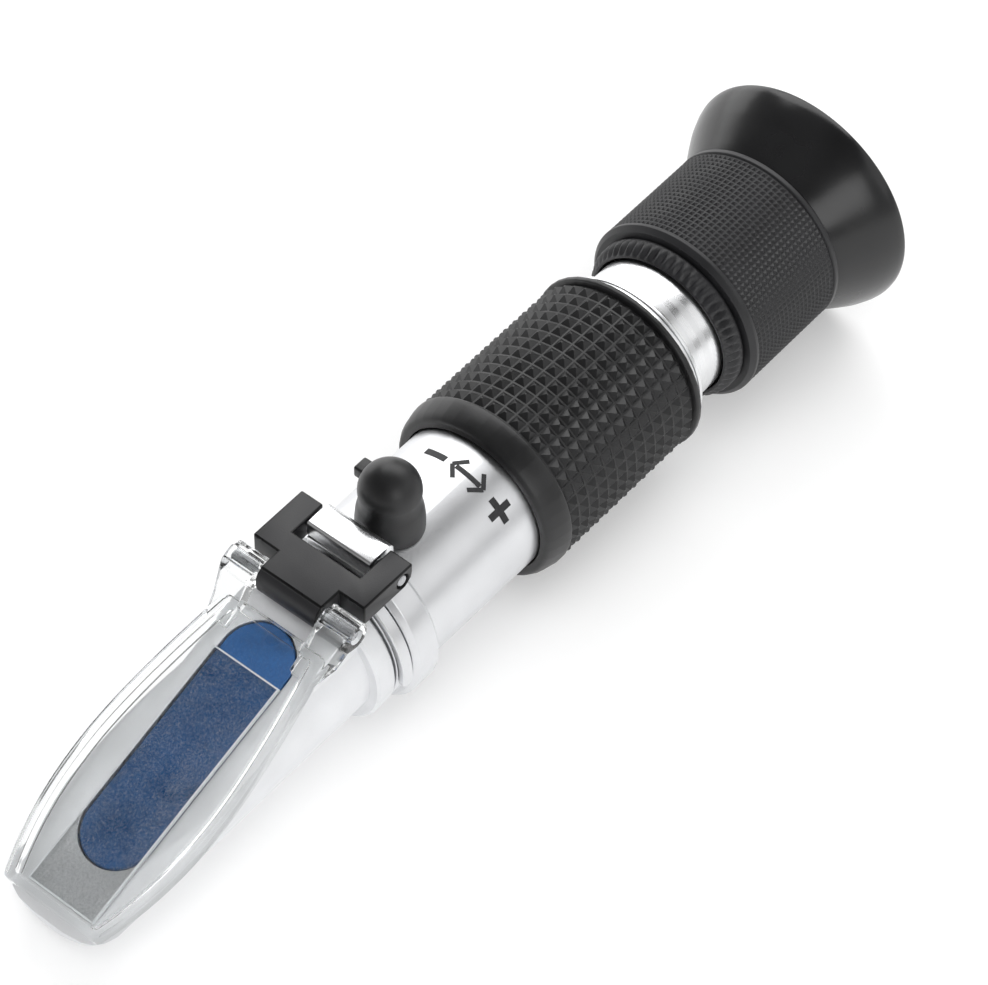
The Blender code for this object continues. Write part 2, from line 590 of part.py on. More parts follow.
def make_cap(cap_axis, rubber):
    """A rubber cap: a flared skirt on the tube, a narrow waist and a round bulb, hollow over the screw."""
    bulb = arc_points((CAP_BULB_Z, 0), CAP_BULB_RADIUS, 90, 0, 7)
    hollow = arc_points((CAP_BULB_Z, 0), CAP_BULB_RADIUS - CAP_WALL, 0, 90, 5)
    outside = [(11.0, CAP_SKIRT_RADIUS), (13.2, 5.0), (14.9, 4.6), (16.2, 4.25), (17.6, 4.35)]
    inside = [(16.4, 3.3), (14.6, 3.9), (11.0, 3.9)]
    top = [(z, max(r, 0.0)) for z, r in bulb[:-1]]
    under = [(z, max(r, 0.0)) for z, r in hollow[1:]]
    outline = [(hollow[0][0], 0)] + under + inside + outside + top + [(bulb[-1][0], 0)]
    cap = piece("calibration_cap", turned(outline, INNER_FACETS, "Z", SCREW_AXIS), rubber, cap_axis)
    tab = box((71.9, 3.9, 17.4), (74.5, 6.7, 19.6), 0.3)
    combine(cap, helper("cap_tab", tab, cap_axis), "UNION")
    seat = turned([(60, 0), (60, TUBE_RADIUS + GAP), (85, TUBE_RADIUS + GAP), (85, 0)], FACETS)
    combine(cap, helper("cap_seat", seat))


def make_objective(axis, black, glass):
    carriage = [
        (CARRIAGE_START, 6.6), (CARRIAGE_START, CARRIAGE_RADIUS - 0.3), (CARRIAGE_START + 0.3, CARRIAGE_RADIUS),
        (CARRIAGE_END - 0.3, CARRIAGE_RADIUS), (CARRIAGE_END, CARRIAGE_RADIUS - 0.3), (CARRIAGE_END, 7.6),
        (CARRIAGE_START + 1.6, 7.6), (CARRIAGE_START + 1.6, 6.6),
    ]
    piece("objective_carriage", turned(carriage), black, axis)
    piece("objective_lens", turned(lens(71.0, 72.6, 7.3, 0.8, 1.0)), glass, axis)
    piece("objective_retainer", turned(ring(73.7, 75.4, 6.4, 7.3)), black, axis)


# ---- eyepiece and focusing ring ------------------------------------------------------------------

def make_eyepiece(axis, black, glass, steel):
    flange = BARREL_END - 2.0
    barrel = [
        (BARREL_START, 7.3), (BARREL_START, BARREL_RADIUS), (flange, BARREL_RADIUS), (flange, 11.5),
        (BARREL_END, 11.5), (BARREL_END, BARREL_BORE), (BARREL_START + 1.2, BARREL_BORE), (BARREL_START + 1.2, 7.3),
    ]
    made = piece("eyepiece_barrel", turned(barrel), black, axis)
    place = Vector((GUIDE_X, 0, 0))
    combine(made, helper("guide_hole", bore(0.9 + GAP, -12, -5, "Z", place), axis))
    piece("guide_screw", rod(0.9, -11.6, -8.5, "Z", place), steel, axis)
    piece("field_lens", turned(lens(134.8, 136.4, LENS_RADIUS, 0.0, 1.4)), glass, axis)
    piece("lens_spacer", turned(ring(137.9, 149.6, 7.2, LENS_RADIUS)), black, axis)
    piece("eye_lens", turned(lens(150.6, 152.4, LENS_RADIUS, 0.6, 1.3)), glass, axis)
    piece("eye_lens_ring", turned(ring(153.8, 155.8, 6.7, LENS_RADIUS)), black, axis)


def make_focus_ring(axis, black, rubber):
    web_start, web_end = 151.6, BARREL_END - 2.4
    sleeve = [
        (RING_START, RING_BORE), (RING_START, 14.9), (RING_START + 0.8, RING_RADIUS),
        (RING_END - 0.4, RING_RADIUS), (RING_END, RING_RADIUS - 0.4), (RING_END, NECK_RADIUS),
        (NECK_END, NECK_RADIUS), (NECK_END, 12.9), (web_end, 12.9), (web_end, DRAW_BORE),
        (web_start, DRAW_BORE), (web_start, RING_BORE),
    ]
    piece("focus_ring", turned(sleeve, FACETS), black, axis)
    piece("clamp_ring", turned(ring(BARREL_END + GAP, BARREL_END + 2.3, 9.0, 12.6)), black, axis)
    piece("toothed_ring", toothed_ring(), black, axis)
    cup = [
        (CUP_START, NECK_RADIUS + GAP), (CUP_START, 15.0), (160.6, 15.7), (162.5, 16.8), (164.5, 18.0),
        (166.5, 19.1), (168.3, 19.8), (169.1, CUP_RADIUS), (LENGTH, CUP_RADIUS), (LENGTH, 18.7), (168.6, 18.4),
        (166.8, 17.6), (165.0, 16.3), (163.4, 14.3), (162.8, 12.0), (NECK_END + GAP, 12.0),
        (NECK_END + GAP, NECK_RADIUS + GAP),
    ]
    piece("eyecup", turned(cup, FACETS), rubber, axis)


def toothed_ring():
    """A ring whose sloping front is cut into teeth."""
    bm = turned(
        [
            (TOOTHED_START, RING_BORE), (TOOTHED_START, 12.9), (TOOTHED_START + 0.5, 13.3),
            (TOOTHED_START + 1.6, 13.7), (TOOTHED_END, 13.9), (TOOTHED_END, RING_BORE),
        ],
        2 * TEETH,
    )
    for vert in bm.verts:
        radius = math.hypot(vert.co.y, vert.co.z)
        step = round(math.atan2(vert.co.y, vert.co.z) / (math.tau / (2 * TEETH)))
        if 13.5 < radius and step % 2:
            vert.co.y *= (radius + 0.5) / radius
            vert.co.z *= (radius + 0.5) / radius
    return bm


def main():
    clear_scene()
    satin = finish("satin_aluminium", (0.72, 0.73, 0.74), 0.38, 0.9)
    bright = finish("bright_aluminium", (0.82, 0.83, 0.84), 0.22, 0.95)
    plastic = finish("black_plastic", (0.03, 0.03, 0.032), 0.45)
    rubber = finish("black_rubber", (0.015, 0.015, 0.016), 0.6)
    anodised = finish("black_anodised", (0.012, 0.012, 0.013), 0.5, 0.3)
    steel = finish("steel", (0.6, 0.6, 0.61), 0.3, 1.0)
    brass = finish("brass", (0.78, 0.57, 0.22), 0.3, 1.0)
    bimetal = finish("bimetal", (0.6, 0.5, 0.38), 0.4, 1.0)
    clear = finish("clear_acrylic", (0.85, 0.88, 0.9), 0.1)
    frosted = finish("frosted_acrylic", (0.8, 0.82, 0.84), 0.7)
    glass = finish("optical_glass", (0.7, 0.8, 0.85), 0.05)
    blue_glass = finish("blue_prism_glass", (0.02, 0.08, 0.25), 0.08)

    make_head(satin)
    make_prism(blue_glass, rubber)
    make_collar(satin, bright, steel)
    block_axis = joint_axis("block_axis", LUG_PIN)
    make_hinge_block(block_axis, plastic, steel)
    make_plate(joint_axis("plate_axis", PLATE_PIN, block_axis), clear, frosted)
    make_tube(satin, bright, rubber, anodised, glass, steel, bimetal)
    screw_axis = joint_axis("screw_axis", SCREW_AXIS)
    make_calibration(screw_axis, joint_axis("cap_axis", SCREW_AXIS), brass, steel, rubber)
    make_objective(joint_axis("carriage_axis", SCREW_AXIS), anodised, glass)
    eyepiece_axis = joint_axis("eyepiece_axis", (GUIDE_X, 0, 0))
    make_eyepiece(eyepiece_axis, anodised, glass, steel)
    make_focus_ring(joint_axis("focus_axis", (GUIDE_X, 0, 0), eyepiece_axis), plastic, rubber)


main()
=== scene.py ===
"""Handheld refractometer: the visible pieces, their finishes, the studio and the camera.

Lengths are millimetres along the optical axis, from the light end, unless a name says otherwise. The
axis is +X and the daylight plate faces +Z. `SETTING_OUT` turns these millimetres into the model's metres.
"""

import math

import bmesh
import bpy
from mathutils import Matrix, Vector


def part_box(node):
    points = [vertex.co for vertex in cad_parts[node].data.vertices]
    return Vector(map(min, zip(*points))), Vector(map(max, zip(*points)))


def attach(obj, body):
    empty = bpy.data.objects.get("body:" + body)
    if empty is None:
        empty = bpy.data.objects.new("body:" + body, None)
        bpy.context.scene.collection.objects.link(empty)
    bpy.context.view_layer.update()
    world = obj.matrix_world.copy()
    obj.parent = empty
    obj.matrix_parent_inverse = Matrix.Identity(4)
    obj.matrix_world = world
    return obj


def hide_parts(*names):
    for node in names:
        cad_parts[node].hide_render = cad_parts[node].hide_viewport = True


bl_info = {
    "name": "Handheld Refractometer",
    "version": (1, 0, 0),
    "blender": (4, 5, 0),
    "location": "View3D > Sidebar > Refractometer",
    "description": "Builds the visible pieces of a handheld refractometer round its packed model",
    "category": "Object",
}

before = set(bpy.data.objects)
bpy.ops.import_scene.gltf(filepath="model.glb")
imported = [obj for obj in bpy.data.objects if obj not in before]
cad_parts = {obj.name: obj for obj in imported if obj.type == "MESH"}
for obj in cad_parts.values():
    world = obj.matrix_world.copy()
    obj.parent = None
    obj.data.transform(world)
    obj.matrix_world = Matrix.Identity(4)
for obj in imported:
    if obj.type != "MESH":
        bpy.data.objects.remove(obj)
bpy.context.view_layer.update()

MM = 0.001
GAP = 0.3
TURNED_STEPS = 120
SMALL_STEPS = 48
SMOOTH_ANGLE = math.radians(32)

# The light end and the optical axis, read from the frame.
LIGHT_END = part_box("head_casting")[0].x
AXIS_Z = sum(corner.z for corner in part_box("main_tube")) / 2
SETTING_OUT = Matrix.Translation((LIGHT_END, 0, AXIS_Z)) @ Matrix.Scale(MM, 4)


def span(node):
    """Where a turned CAD node starts and ends along the axis, and its radius, in millimetres."""
    low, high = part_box(node)
    return (low.x - LIGHT_END) / MM, (high.x - LIGHT_END) / MM, (high.y - low.y) / 2 / MM


def height(node):
    """The lowest and highest points of a CAD node above the optical axis, in millimetres."""
    low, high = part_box(node)
    return (low.z - AXIS_Z) / MM, (high.z - AXIS_Z) / MM


def middle(node):
    """The middle of a CAD node's box, in millimetres."""
    low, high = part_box(node)
    return SETTING_OUT.inverted() @ ((low + high) / 2)


# The prism face: its height at the light end and its rise per millimetre.
FACE_START_Z = -6.2
FACE_SLOPE = 0.345
FACE_ANGLE = math.atan(FACE_SLOPE)
FACE = Matrix.Translation((0, 0, FACE_START_Z)) @ Matrix.Rotation(-FACE_ANGLE, 4, "Y")
ALONG_FACE = 1 / math.cos(FACE_ANGLE)

# The head and its window.
HEAD_RADIUS = 10.8
HEAD_END = 54.8
FLANGE_END = 58.5
SPIGOT_RADIUS = 10.2
SADDLE_HALF_WIDTH = 8.6
WINDOW_RADIUS = 5.95
WINDOW_START = 9.3
WINDOW_LENGTH = 41.9
SADDLE_START = 36.0
PRISM_BEVEL = 0.2
SEAL_WIDTH = 0.7
SEAL_TOP = -1.5

# The hinge.
HINGE_TOP = 17.9
HINGE_UNDER = 14.2
LUG_PIN = middle("lug_pin")
PLATE_PIN = middle("plate_pin")
PIN_HOLE = 1.2
ARM_OUTSIDE = 10.2
ARM_INSIDE = 6.2
TONGUE_HALF_WIDTH = 5.6
EAR_RADIUS = 2.25
EAR_INSIDE = 5.95
EAR_OUTSIDE = 11.4

# The daylight plate, in heights above the prism face.
PLATE_FRONT = 1.2
PLATE_REAR = 48.6
RIM_UNDER = 0.4
RIM_TOP = 3.4
PANEL_UNDER = 1.2
PANEL_TOP = 2.3
PAD_START = 3.0
PAD_END = 41.8
PAD_HALF_WIDTH = 6.0
PAD_UNDER = 0.3
PAD_TOP = 0.9
PAD_BEVEL = 0.28

# The tube, the collar, the cap and the focusing ring.
COLLAR_STEP = 61.2
COLLAR_GROOVE = 63.9
LUG_SEAT = 14.5
TUBE_CLEARANCE = 12.8
GRUB_HOLE = 1.25
COLLAR_STEP_RADIUS = 12.5
STRAP_ARC = math.radians(200)
BOSS_CLEARANCE = 3.0
TUBE_BORE = 11.3
DRAW_BORE = 9.9
DRAW_FRONT_RADIUS = 11.0
O_RING_GROOVE = (120.3, 122.1)
O_RING_FLOOR = 10.0
RING_BORE = 12.3
NECK_RADIUS = 13.4
WEB_START = 151.6
CAP_TAB = ((71.7, 3.9, 17.5), (74.3, 6.6, 19.5))
MARKS_PLACE = 85.6
SCREW_X = middle("calibration_screw").x


# ---- settings that a user may change ----

def linear(code):
    """An sRGB hex colour as linear RGB."""
    parts = [int(code[index:index + 2], 16) / 255 for index in (0, 2, 4)]
    return tuple(part / 12.92 if part <= 0.04045 else ((part + 0.055) / 1.055) ** 2.4 for part in parts)


def colour(name, description, code):
    """A colour setting."""
    return bpy.props.FloatVectorProperty(
        name=name, description=description, subtype="COLOR", size=3, min=0, max=1, default=linear(code)
    )


def millimetres(name, description, value, low, high):
    """A length setting."""
    return bpy.props.FloatProperty(
        name=name, description=f"{description}, in millimetres", default=value, min=low, max=high
    )


class RefractometerSizes(bpy.types.PropertyGroup):
    grip_pitch: millimetres("Grip pitch", "Distance between the studs of the rubber grip", 2.15, 1.0, 5.0)
    grip_relief: millimetres("Grip relief", "Height of the grip's studs", 0.75, 0.1, 1.2)
    ring_pitch: millimetres("Ring pitch", "Distance between the studs of the focusing ring", 0.92, 0.5, 3.0)
    ring_relief: millimetres("Ring relief", "Height of the focusing ring's studs", 0.3, 0.05, 0.8)
    edge_radius: millimetres("Edge radius", "Radius of the broken edges of moulded pieces", 0.4, 0.05, 0.8)
    rim_width: millimetres("Rim width", "Width of the daylight plate's raised rim", 1.9, 0.8, 3.0)
    teeth: bpy.props.IntProperty(
        name="Teeth", description="Teeth round the front of the eyepiece", default=56, min=12, max=90
    )


class RefractometerColours(bpy.types.PropertyGroup):
    satin: colour("Satin aluminium", "Head, collar and tube", "E2E3E5")
    bright: colour("Bright aluminium", "Hinge lug, rear flange and draw tube", "ECEDEE")
    rubber: colour("Rubber", "Grip, eyecup and cap", "141415")
    plastic: colour("Plastic", "Hinge block and focusing ring", "202022")
    prism: colour("Prism", "Blue of the prism under its clear plate", "2964A4")
    acrylic: colour("Acrylic", "Clear daylight plate", "FDFEFE")
    ink: colour("Ink", "Printed adjustment marks", "1B1B1D")
    floor: colour("Floor", "Plain floor under the instrument", "DCDCDC")


def sizes():
    """The scene's size settings."""
    return bpy.context.scene.refractometer_sizes


def colours():
    """The scene's colour settings."""
    return bpy.context.scene.refractometer_colours


# ---- materials ----

def add(tree, kind, inputs=None, **settings):
    """Adds a node. Its inputs take plain values or other nodes' outputs."""
    node = tree.nodes.new(kind)
    for key, value in settings.items():
        setattr(node, key, value)
    for key, value in (inputs or {}).items():
        if isinstance(value, bpy.types.NodeSocket):
            tree.links.new(value, node.inputs[key])
        else:
            node.inputs[key].default_value = value
    return node


def finish(name, base, roughness, **constants):
    """A Principled material with its constant sockets set."""
    material = bpy.data.materials.new(name)
    material.use_nodes = True
    tree = material.node_tree
    shader = tree.nodes["Principled BSDF"]
    shader.inputs["Base Color"].default_value = (*base, 1)
    shader.inputs["Roughness"].default_value = roughness
    for key, value in constants.items():
        shader.inputs[key.replace("_", " ")].default_value = value
    material.diffuse_color = (*base, 1)
    return material, tree, shader


def grain(tree, size, detail=2.0, stretch=(1, 1, 1)):
    """Noise whose blotches are about this many millimetres across, in the piece's own coordinates."""
    place = add(tree, "ShaderNodeTexCoord")
    scaled = add(tree, "ShaderNodeMapping", {"Vector": place.outputs["Object"], "Scale": stretch})
    noise = add(
        tree, "ShaderNodeTexNoise", {"Vector": scaled.outputs[0], "Scale": 1 / (size * MM), "Detail": detail}
    )
    return noise.outputs["Fac"]


def spread(tree, factor, low, high):
    """Carries a noise from its usual range to low and high."""
    made = add(
        tree, "ShaderNodeMapRange",
        {"Value": factor, "From Min": 0.3, "From Max": 0.7, "To Min": low, "To Max": high},
    )
    return made.outputs[0]


def tint(tree, factor, base, low, high):
    """The base colour with its brightness swung from low to high by a noise."""
    dark = tuple(part * low for part in base)
    light = tuple(min(part * high, 1) for part in base)
    made = add(
        tree, "ShaderNodeMix",
        {"Factor": spread(tree, factor, 0, 1), "A": (*dark, 1), "B": (*light, 1)}, data_type="RGBA",
    )
    return made.outputs["Result"]


def vary(tree, shader, base, shade, shades, gloss, glosses):
    """Swings the base colour's brightness by one noise, and the roughness by another."""
    tree.links.new(tint(tree, shade, base, *shades), shader.inputs["Base Color"])
    tree.links.new(spread(tree, gloss, *glosses), shader.inputs["Roughness"])


def bump(tree, shader, relief, depth):
    """Bumps a surface by a depth in millimetres."""
    made = add(tree, "ShaderNodeBump", {"Height": relief, "Distance": depth * MM, "Strength": 1.0})
    tree.links.new(made.outputs["Normal"], shader.inputs["Normal"])


def blasted_aluminium():
    """Bead-blasted and clear-anodised aluminium: a soft, nearly white sheen with a fine even grain."""
    base = colours().satin
    material, tree, shader = finish("blasted_anodised_aluminium", base, 0.34, Metallic=1.0)
    # The blast pits are about 0.05 mm, too fine to show, so they are drawn at 0.3 mm.
    pits = grain(tree, 0.3)
    clouds = grain(tree, 9.0)
    vary(tree, shader, base, clouds, (0.95, 1.03), pits, (0.3, 0.4))
    bump(tree, shader, pits, 0.006)
    return material


def cast_aluminium():
    """Fine-shot-peened die-cast aluminium: a matt, pale grey skin that sparkles in points."""
    base = colours().satin
    material, tree, shader = finish("peened_cast_aluminium", base, 0.5, Metallic=0.3)
    # The peening dimples are about 0.1 mm, drawn at 0.35 mm so that they show.
    dimples = grain(tree, 0.35)
    clouds = grain(tree, 8.0)
    vary(tree, shader, base, clouds, (1.0, 1.08), dimples, (0.4, 0.56))
    bump(tree, shader, dimples, 0.02)
    return material


def turned_aluminium():
    """Lathe-turned aluminium with a polished skin: crisp reflections drawn out by fine turning lines."""
    base = colours().bright
    material, tree, shader = finish("turned_polished_aluminium", base, 0.25, Metallic=1.0)
    # The turning lines are 0.08 mm apart, too fine to show, so soft bands 2.513 mm apart stand for
    # them. The node repeats a band every tau / 20 of its own unit.
    place = add(tree, "ShaderNodeTexCoord")
    scale = math.tau / 20 / (2.513 * MM)
    lines = add(
        tree, "ShaderNodeTexWave",
        {"Vector": place.outputs["Object"], "Scale": scale, "Distortion": 1.5, "Detail": 2.0},
        bands_direction="X",
    )
    vary(tree, shader, base, grain(tree, 6.0), (0.93, 1.04), lines.outputs["Fac"], (0.22, 0.3))
    bump(tree, shader, lines.outputs["Fac"], 0.002)
    return material


def moulded_plastic():
    """ABS moulded in a spark-eroded tool: black with an even, fine leathery grain and a grey sheen."""
    base = colours().plastic
    material, tree, shader = finish("moulded_black_abs", base, 0.46, IOR=1.5)
    pebbles = grain(tree, 0.22)
    clouds = grain(tree, 5.0)
    vary(tree, shader, base, clouds, (0.8, 1.25), clouds, (0.38, 0.48))
    bump(tree, shader, pebbles, 0.012)
    return material


def edge_shade_plastic():
    """ABS on the hinge block's broken edges: smoother than the grained faces, and painted a deeper black as
    painted shade.
    """
    # A darker black than the plastic colour setting: this paints the shade on the block's edges.
    base = linear("0B0B0C")
    material, tree, shader = finish("black_abs_painted_edge_shade", base, 0.3, IOR=1.35)
    clouds = grain(tree, 3.0)
    vary(tree, shader, base, clouds, (0.7, 1.3), clouds, (0.24, 0.34))
    return material


def grip_rubber():
    """Moulded nitrile rubber: a dull black that catches light only on its edges, with a dusty bloom."""
    base = colours().rubber
    material, tree, shader = finish("moulded_nitrile_rubber", base, 0.4, IOR=1.52)
    skin = grain(tree, 0.35)
    bloom = grain(tree, 7.0, 3.0)
    vary(tree, shader, base, bloom, (0.7, 1.5), bloom, (0.34, 0.46))
    bump(tree, shader, skin, 0.008)
    return material


def cup_rubber():
    """Rubber from a polished mould: deep black with broad, soft-edged reflections."""
    base = colours().rubber
    material, tree, shader = finish("smooth_moulded_rubber", base, 0.24, IOR=1.52)
    skin = grain(tree, 0.5)
    bloom = grain(tree, 12.0, 3.0)
    vary(tree, shader, base, bloom, (0.75, 1.3), bloom, (0.2, 0.29))
    bump(tree, shader, skin, 0.003)
    return material


def clear_acrylic():
    """Polished moulded acrylic: water-clear, with bright and dark lines where its edges bend the light."""
    base = colours().acrylic
    material, tree, shader = finish("polished_clear_acrylic", base, 0.05, IOR=1.32, Transmission_Weight=1.0)
    swirl = grain(tree, 5.0)
    tree.links.new(spread(tree, swirl, 0.03, 0.08), shader.inputs["Roughness"])
    bump(tree, shader, swirl, 0.008)
    return material


def frosted_acrylic():
    """Acrylic ground on one side: it spreads the light, and shows as a sparkling grain over the prism."""
    base = colours().acrylic
    material, tree, shader = finish("ground_acrylic", base, 0.12, IOR=1.3)
    # The grinding marks are about 0.1 mm, drawn at 0.3 mm so that they show.
    marks = grain(tree, 0.3, 0.0)
    vary(tree, shader, base, marks, (0.82, 1.04), grain(tree, 4.0), (0.1, 0.18))
    glints = add(
        tree, "ShaderNodeMapRange",
        {"Value": marks, "From Min": 0.5, "From Max": 0.7, "To Min": 1.0, "To Max": 0.92},
    )
    tree.links.new(glints.outputs[0], shader.inputs["Transmission Weight"])
    return material


def edge_highlight_acrylic():
    """The sawn edge of the frosted pad: pale frosted acrylic whose near-white, nearly opaque colour is a
    painted highlight of the light the edge gathers, so it shows as a white line.
    """
    # Near white, standing for the light the edge gathers: a painted highlight.
    base = linear("F4F7F9")
    material, tree, shader = finish("pad_edge_painted_highlight", base, 0.5, IOR=1.49, Transmission_Weight=0.15)
    saw = grain(tree, 0.25)
    tree.links.new(tint(tree, saw, base, 0.92, 1.0), shader.inputs["Base Color"])
    bump(tree, shader, saw, 0.01)
    return material


def prism_glass():
    """Polished optical glass over a blue-lacquered back: deep blue under a hard gloss."""
    base = colours().prism
    material, tree, shader = finish(
        "blue_backed_optical_glass", base, 0.35, IOR=1.45, Coat_Weight=0.6, Coat_Roughness=0.15
    )
    mottle = grain(tree, 0.4, 3.0)
    clouds = grain(tree, 8.0)
    blue = add(
        tree, "ShaderNodeMix",
        {"Factor": 0.5, "A": tint(tree, mottle, base, 0.75, 1.3), "B": tint(tree, clouds, base, 0.7, 1.3)},
        data_type="RGBA",
    )
    tree.links.new(blue.outputs["Result"], shader.inputs["Base Color"])
    tree.links.new(spread(tree, clouds, 0.25, 0.38), shader.inputs["Roughness"])
    return material


def lens_glass():
    """Crown glass with an anti-reflection coating: clear, with a faint green-violet gloss."""
    material, tree, shader = finish(
        "coated_crown_glass", linear("EAF4F2"), 0.01, IOR=1.52, Transmission_Weight=1.0, Coat_Weight=0.4
    )
    shader.inputs["Coat Tint"].default_value = (*linear("B9A9E8"), 1)
    coating = grain(tree, 6.0)
    tree.links.new(spread(tree, coating, 0.005, 0.02), shader.inputs["Roughness"])
    return material


def anodised_black():
    """Black-anodised turned aluminium: a deep charcoal with a dry metallic glint."""
    base = linear("1C1C1F")
    material, tree, shader = finish("black_anodised_aluminium", base, 0.4, Metallic=0.6)
    pits = grain(tree, 0.3)
    vary(tree, shader, base, grain(tree, 4.0), (0.8, 1.3), pits, (0.34, 0.46))
    bump(tree, shader, pits, 0.006)
    return material


def machined_metal(name, code, roughness):
    """A small machined part: steel, brass or strip metal with short random scratches."""
    base = linear(code)
    material, tree, shader = finish(name, base, roughness, Metallic=1.0)
    # Machining scratches run one way, so the noise is drawn out along Y.
    scratches = grain(tree, 0.35, 3.0, stretch=(1, 0.2, 1))
    vary(tree, shader, base, grain(tree, 2.0), (0.9, 1.08), scratches, (roughness - 0.06, roughness + 0.08))
    bump(tree, shader, scratches, 0.004)
    return material


def printing_ink():
    """Pad-printed epoxy ink: flat black with slightly thin, mottled patches."""
    base = colours().ink
    material, tree, shader = finish("pad_printed_ink", base, 0.5)
    mottle = grain(tree, 0.6, 3.0)
    vary(tree, shader, base, mottle, (0.8, 2.2), mottle, (0.42, 0.6))
    return material


def opal_acrylic():
    """Matt opal acrylic over a light table: it glows evenly and keeps shadows pale."""
    base = colours().floor
    material, tree, shader = finish("matt_opal_acrylic", base, 0.8, Emission_Strength=0.3)
    shader.inputs["Emission Color"].default_value = (1, 1, 1, 1)
    ripple = grain(tree, 12.0)
    tree.links.new(tint(tree, ripple, base, 0.995, 1.0), shader.inputs["Base Color"])
    bump(tree, shader, ripple, 0.02)
    return material


RECIPES = {
    "satin_aluminium": blasted_aluminium,
    "cast_aluminium": cast_aluminium,
    "bright_aluminium": turned_aluminium,
    "black_plastic": moulded_plastic,
    "edge_shade_plastic": edge_shade_plastic,
    "grip_rubber": grip_rubber,
    "black_rubber": cup_rubber,
    "clear_acrylic": clear_acrylic,
    "frosted_acrylic": frosted_acrylic,
    "edge_highlight_acrylic": edge_highlight_acrylic,
    "blue_prism_glass": prism_glass,
    "optical_glass": lens_glass,
    "black_anodised": anodised_black,
    "steel": lambda: machined_metal("machined_stainless_steel", "B9BABD", 0.28),
    "brass": lambda: machined_metal("turned_brass", "D2A95A", 0.26),
    "bimetal": lambda: machined_metal("rolled_bimetal_strip", "B5A48A", 0.34),
    "ink": printing_ink,
    "floor": opal_acrylic,
}
made_materials = {}


def material(kind):
    """The finish of this kind, made when it is first asked for."""
    if kind not in made_materials:
        made_materials[kind] = RECIPES[kind]()
    return made_materials[kind]


# ---- mesh helpers ----

def arc_points(centre, radius, start, end, steps):
    """Points on an arc, in degrees, from start to end inclusive."""
    angles = [math.radians(start + (end - start) * step / steps) for step in range(steps + 1)]
    return [(centre[0] + radius * math.cos(a), centre[1] + radius * math.sin(a)) for a in angles]


def rounded(outline, radius=0.25, closed=True, steps=4):
    """The outline with each corner turned into a short curve."""
    result = []
    for index, corner in enumerate(outline):
        point = Vector(corner)
        before = Vector(outline[index - 1]) - point
        after = Vector(outline[(index + 1) % len(outline)]) - point
        is_end = not closed and index in (0, len(outline) - 1)
        if is_end or before.angle(after) > math.radians(155):
            result.append(corner)
            continue
        reach = min(radius / math.tan(before.angle(after) / 2), 0.45 * before.length, 0.45 * after.length)
        first = point + before.normalized() * reach
        last = point + after.normalized() * reach
        for step in range(steps + 1):
            share = step / steps
            result.append(tuple(first.lerp(point, share).lerp(point.lerp(last, share), share)))
    return result


def even_angles(count):
    """Angles evenly spaced round a full turn."""
    return [math.tau * index / count for index in range(count)]


def stud_angles(count, groove):
    """Two angles for each stud, which leave a narrow groove between neighbours."""
    step = math.tau / count
    return [step * index + side for index in range(count) for side in (groove / 2, step - groove / 2)]


def turned(outline, angles=None, studs=(), relief=0.0, flat=0.15):
    """A closed outline of (distance, radius) points turned about the axis.

    The outline's segments named in studs rise as a row of four-sided studs, one for each pair of
    angles; flat is the share of a stud that its level top takes.
    """
    angles = angles or even_angles(TURNED_STEPS)
    bm = bmesh.new()
    rings = []
    for distance, radius in outline:
        if radius < 1e-6:
            rings.append([bm.verts.new((distance, 0, 0))] * len(angles))
            continue
        rings.append([bm.verts.new((distance, -radius * math.sin(a), radius * math.cos(a))) for a in angles])
    on_axis = outline[0][1] < 1e-6 and outline[-1][1] < 1e-6
    pairs = list(zip(range(len(rings)), range(1, len(rings))))
    if not on_axis:
        pairs.append((len(rings) - 1, 0))
    for low, high in pairs:
        for turn in range(len(angles)):
            after = (turn + 1) % len(angles)
            corners = [rings[low][turn], rings[low][after], rings[high][after], rings[high][turn]]
            corners = list(dict.fromkeys(corners))
            if len(corners) < 3:
                continue
            if low in studs and turn % 2 == 0:
                add_stud(bm, corners, relief, flat)
            else:
                bm.faces.new(corners)
    return bm


def add_stud(bm, corners, relief, flat):
    """Raises a four-sided stud on a patch of a turned surface."""
    centre = sum((vert.co for vert in corners), Vector()) / 4
    outward = Vector((0, centre.y, centre.z)).normalized()
    tops = [bm.verts.new(centre + (vert.co - centre) * flat + outward * relief) for vert in corners]
    for index in range(4):
        after = (index + 1) % 4
        bm.faces.new((corners[index], corners[after], tops[after], tops[index]))
    bm.faces.new(tops)


def placed(bm, matrix):
    """The shape moved by a matrix."""
    bmesh.ops.transform(bm, matrix=matrix, verts=bm.verts)
    return bm


def upright(bm, place):
    """Stands a turned shape's axis upright at a place."""
    return placed(bm, Matrix.Translation(place) @ Matrix.Rotation(math.radians(-90), 4, "Y"))


def plug(radius, low, high, steps=TURNED_STEPS):
    """A plain round bar along the axis, which cuts a hole or a seat."""
    return turned([(low, 0), (low, radius), (high, radius), (high, 0)], even_angles(steps))


def pin_hole(place, reach=15):
    """A cutter for a pin's hole, along Y at a place."""
    turn = Matrix.Rotation(math.radians(90), 4, "Z")
    return placed(plug(PIN_HOLE, -reach, reach, 32), Matrix.Translation(place) @ turn)


def lofted(loops, place=Matrix()):
    """A closed skin carried from each loop of points to the next, with both ends capped."""
    bm = bmesh.new()
    rings = [[bm.verts.new(place @ Vector(point)) for point in loop] for loop in loops]
    for low, high in zip(rings, rings[1:]):
        for index in range(len(low)):
            after = (index + 1) % len(low)
            bm.faces.new((low[index], low[after], high[after], high[index]))
    bm.faces.new(rings[0])
    bm.faces.new(rings[-1])
    return bm


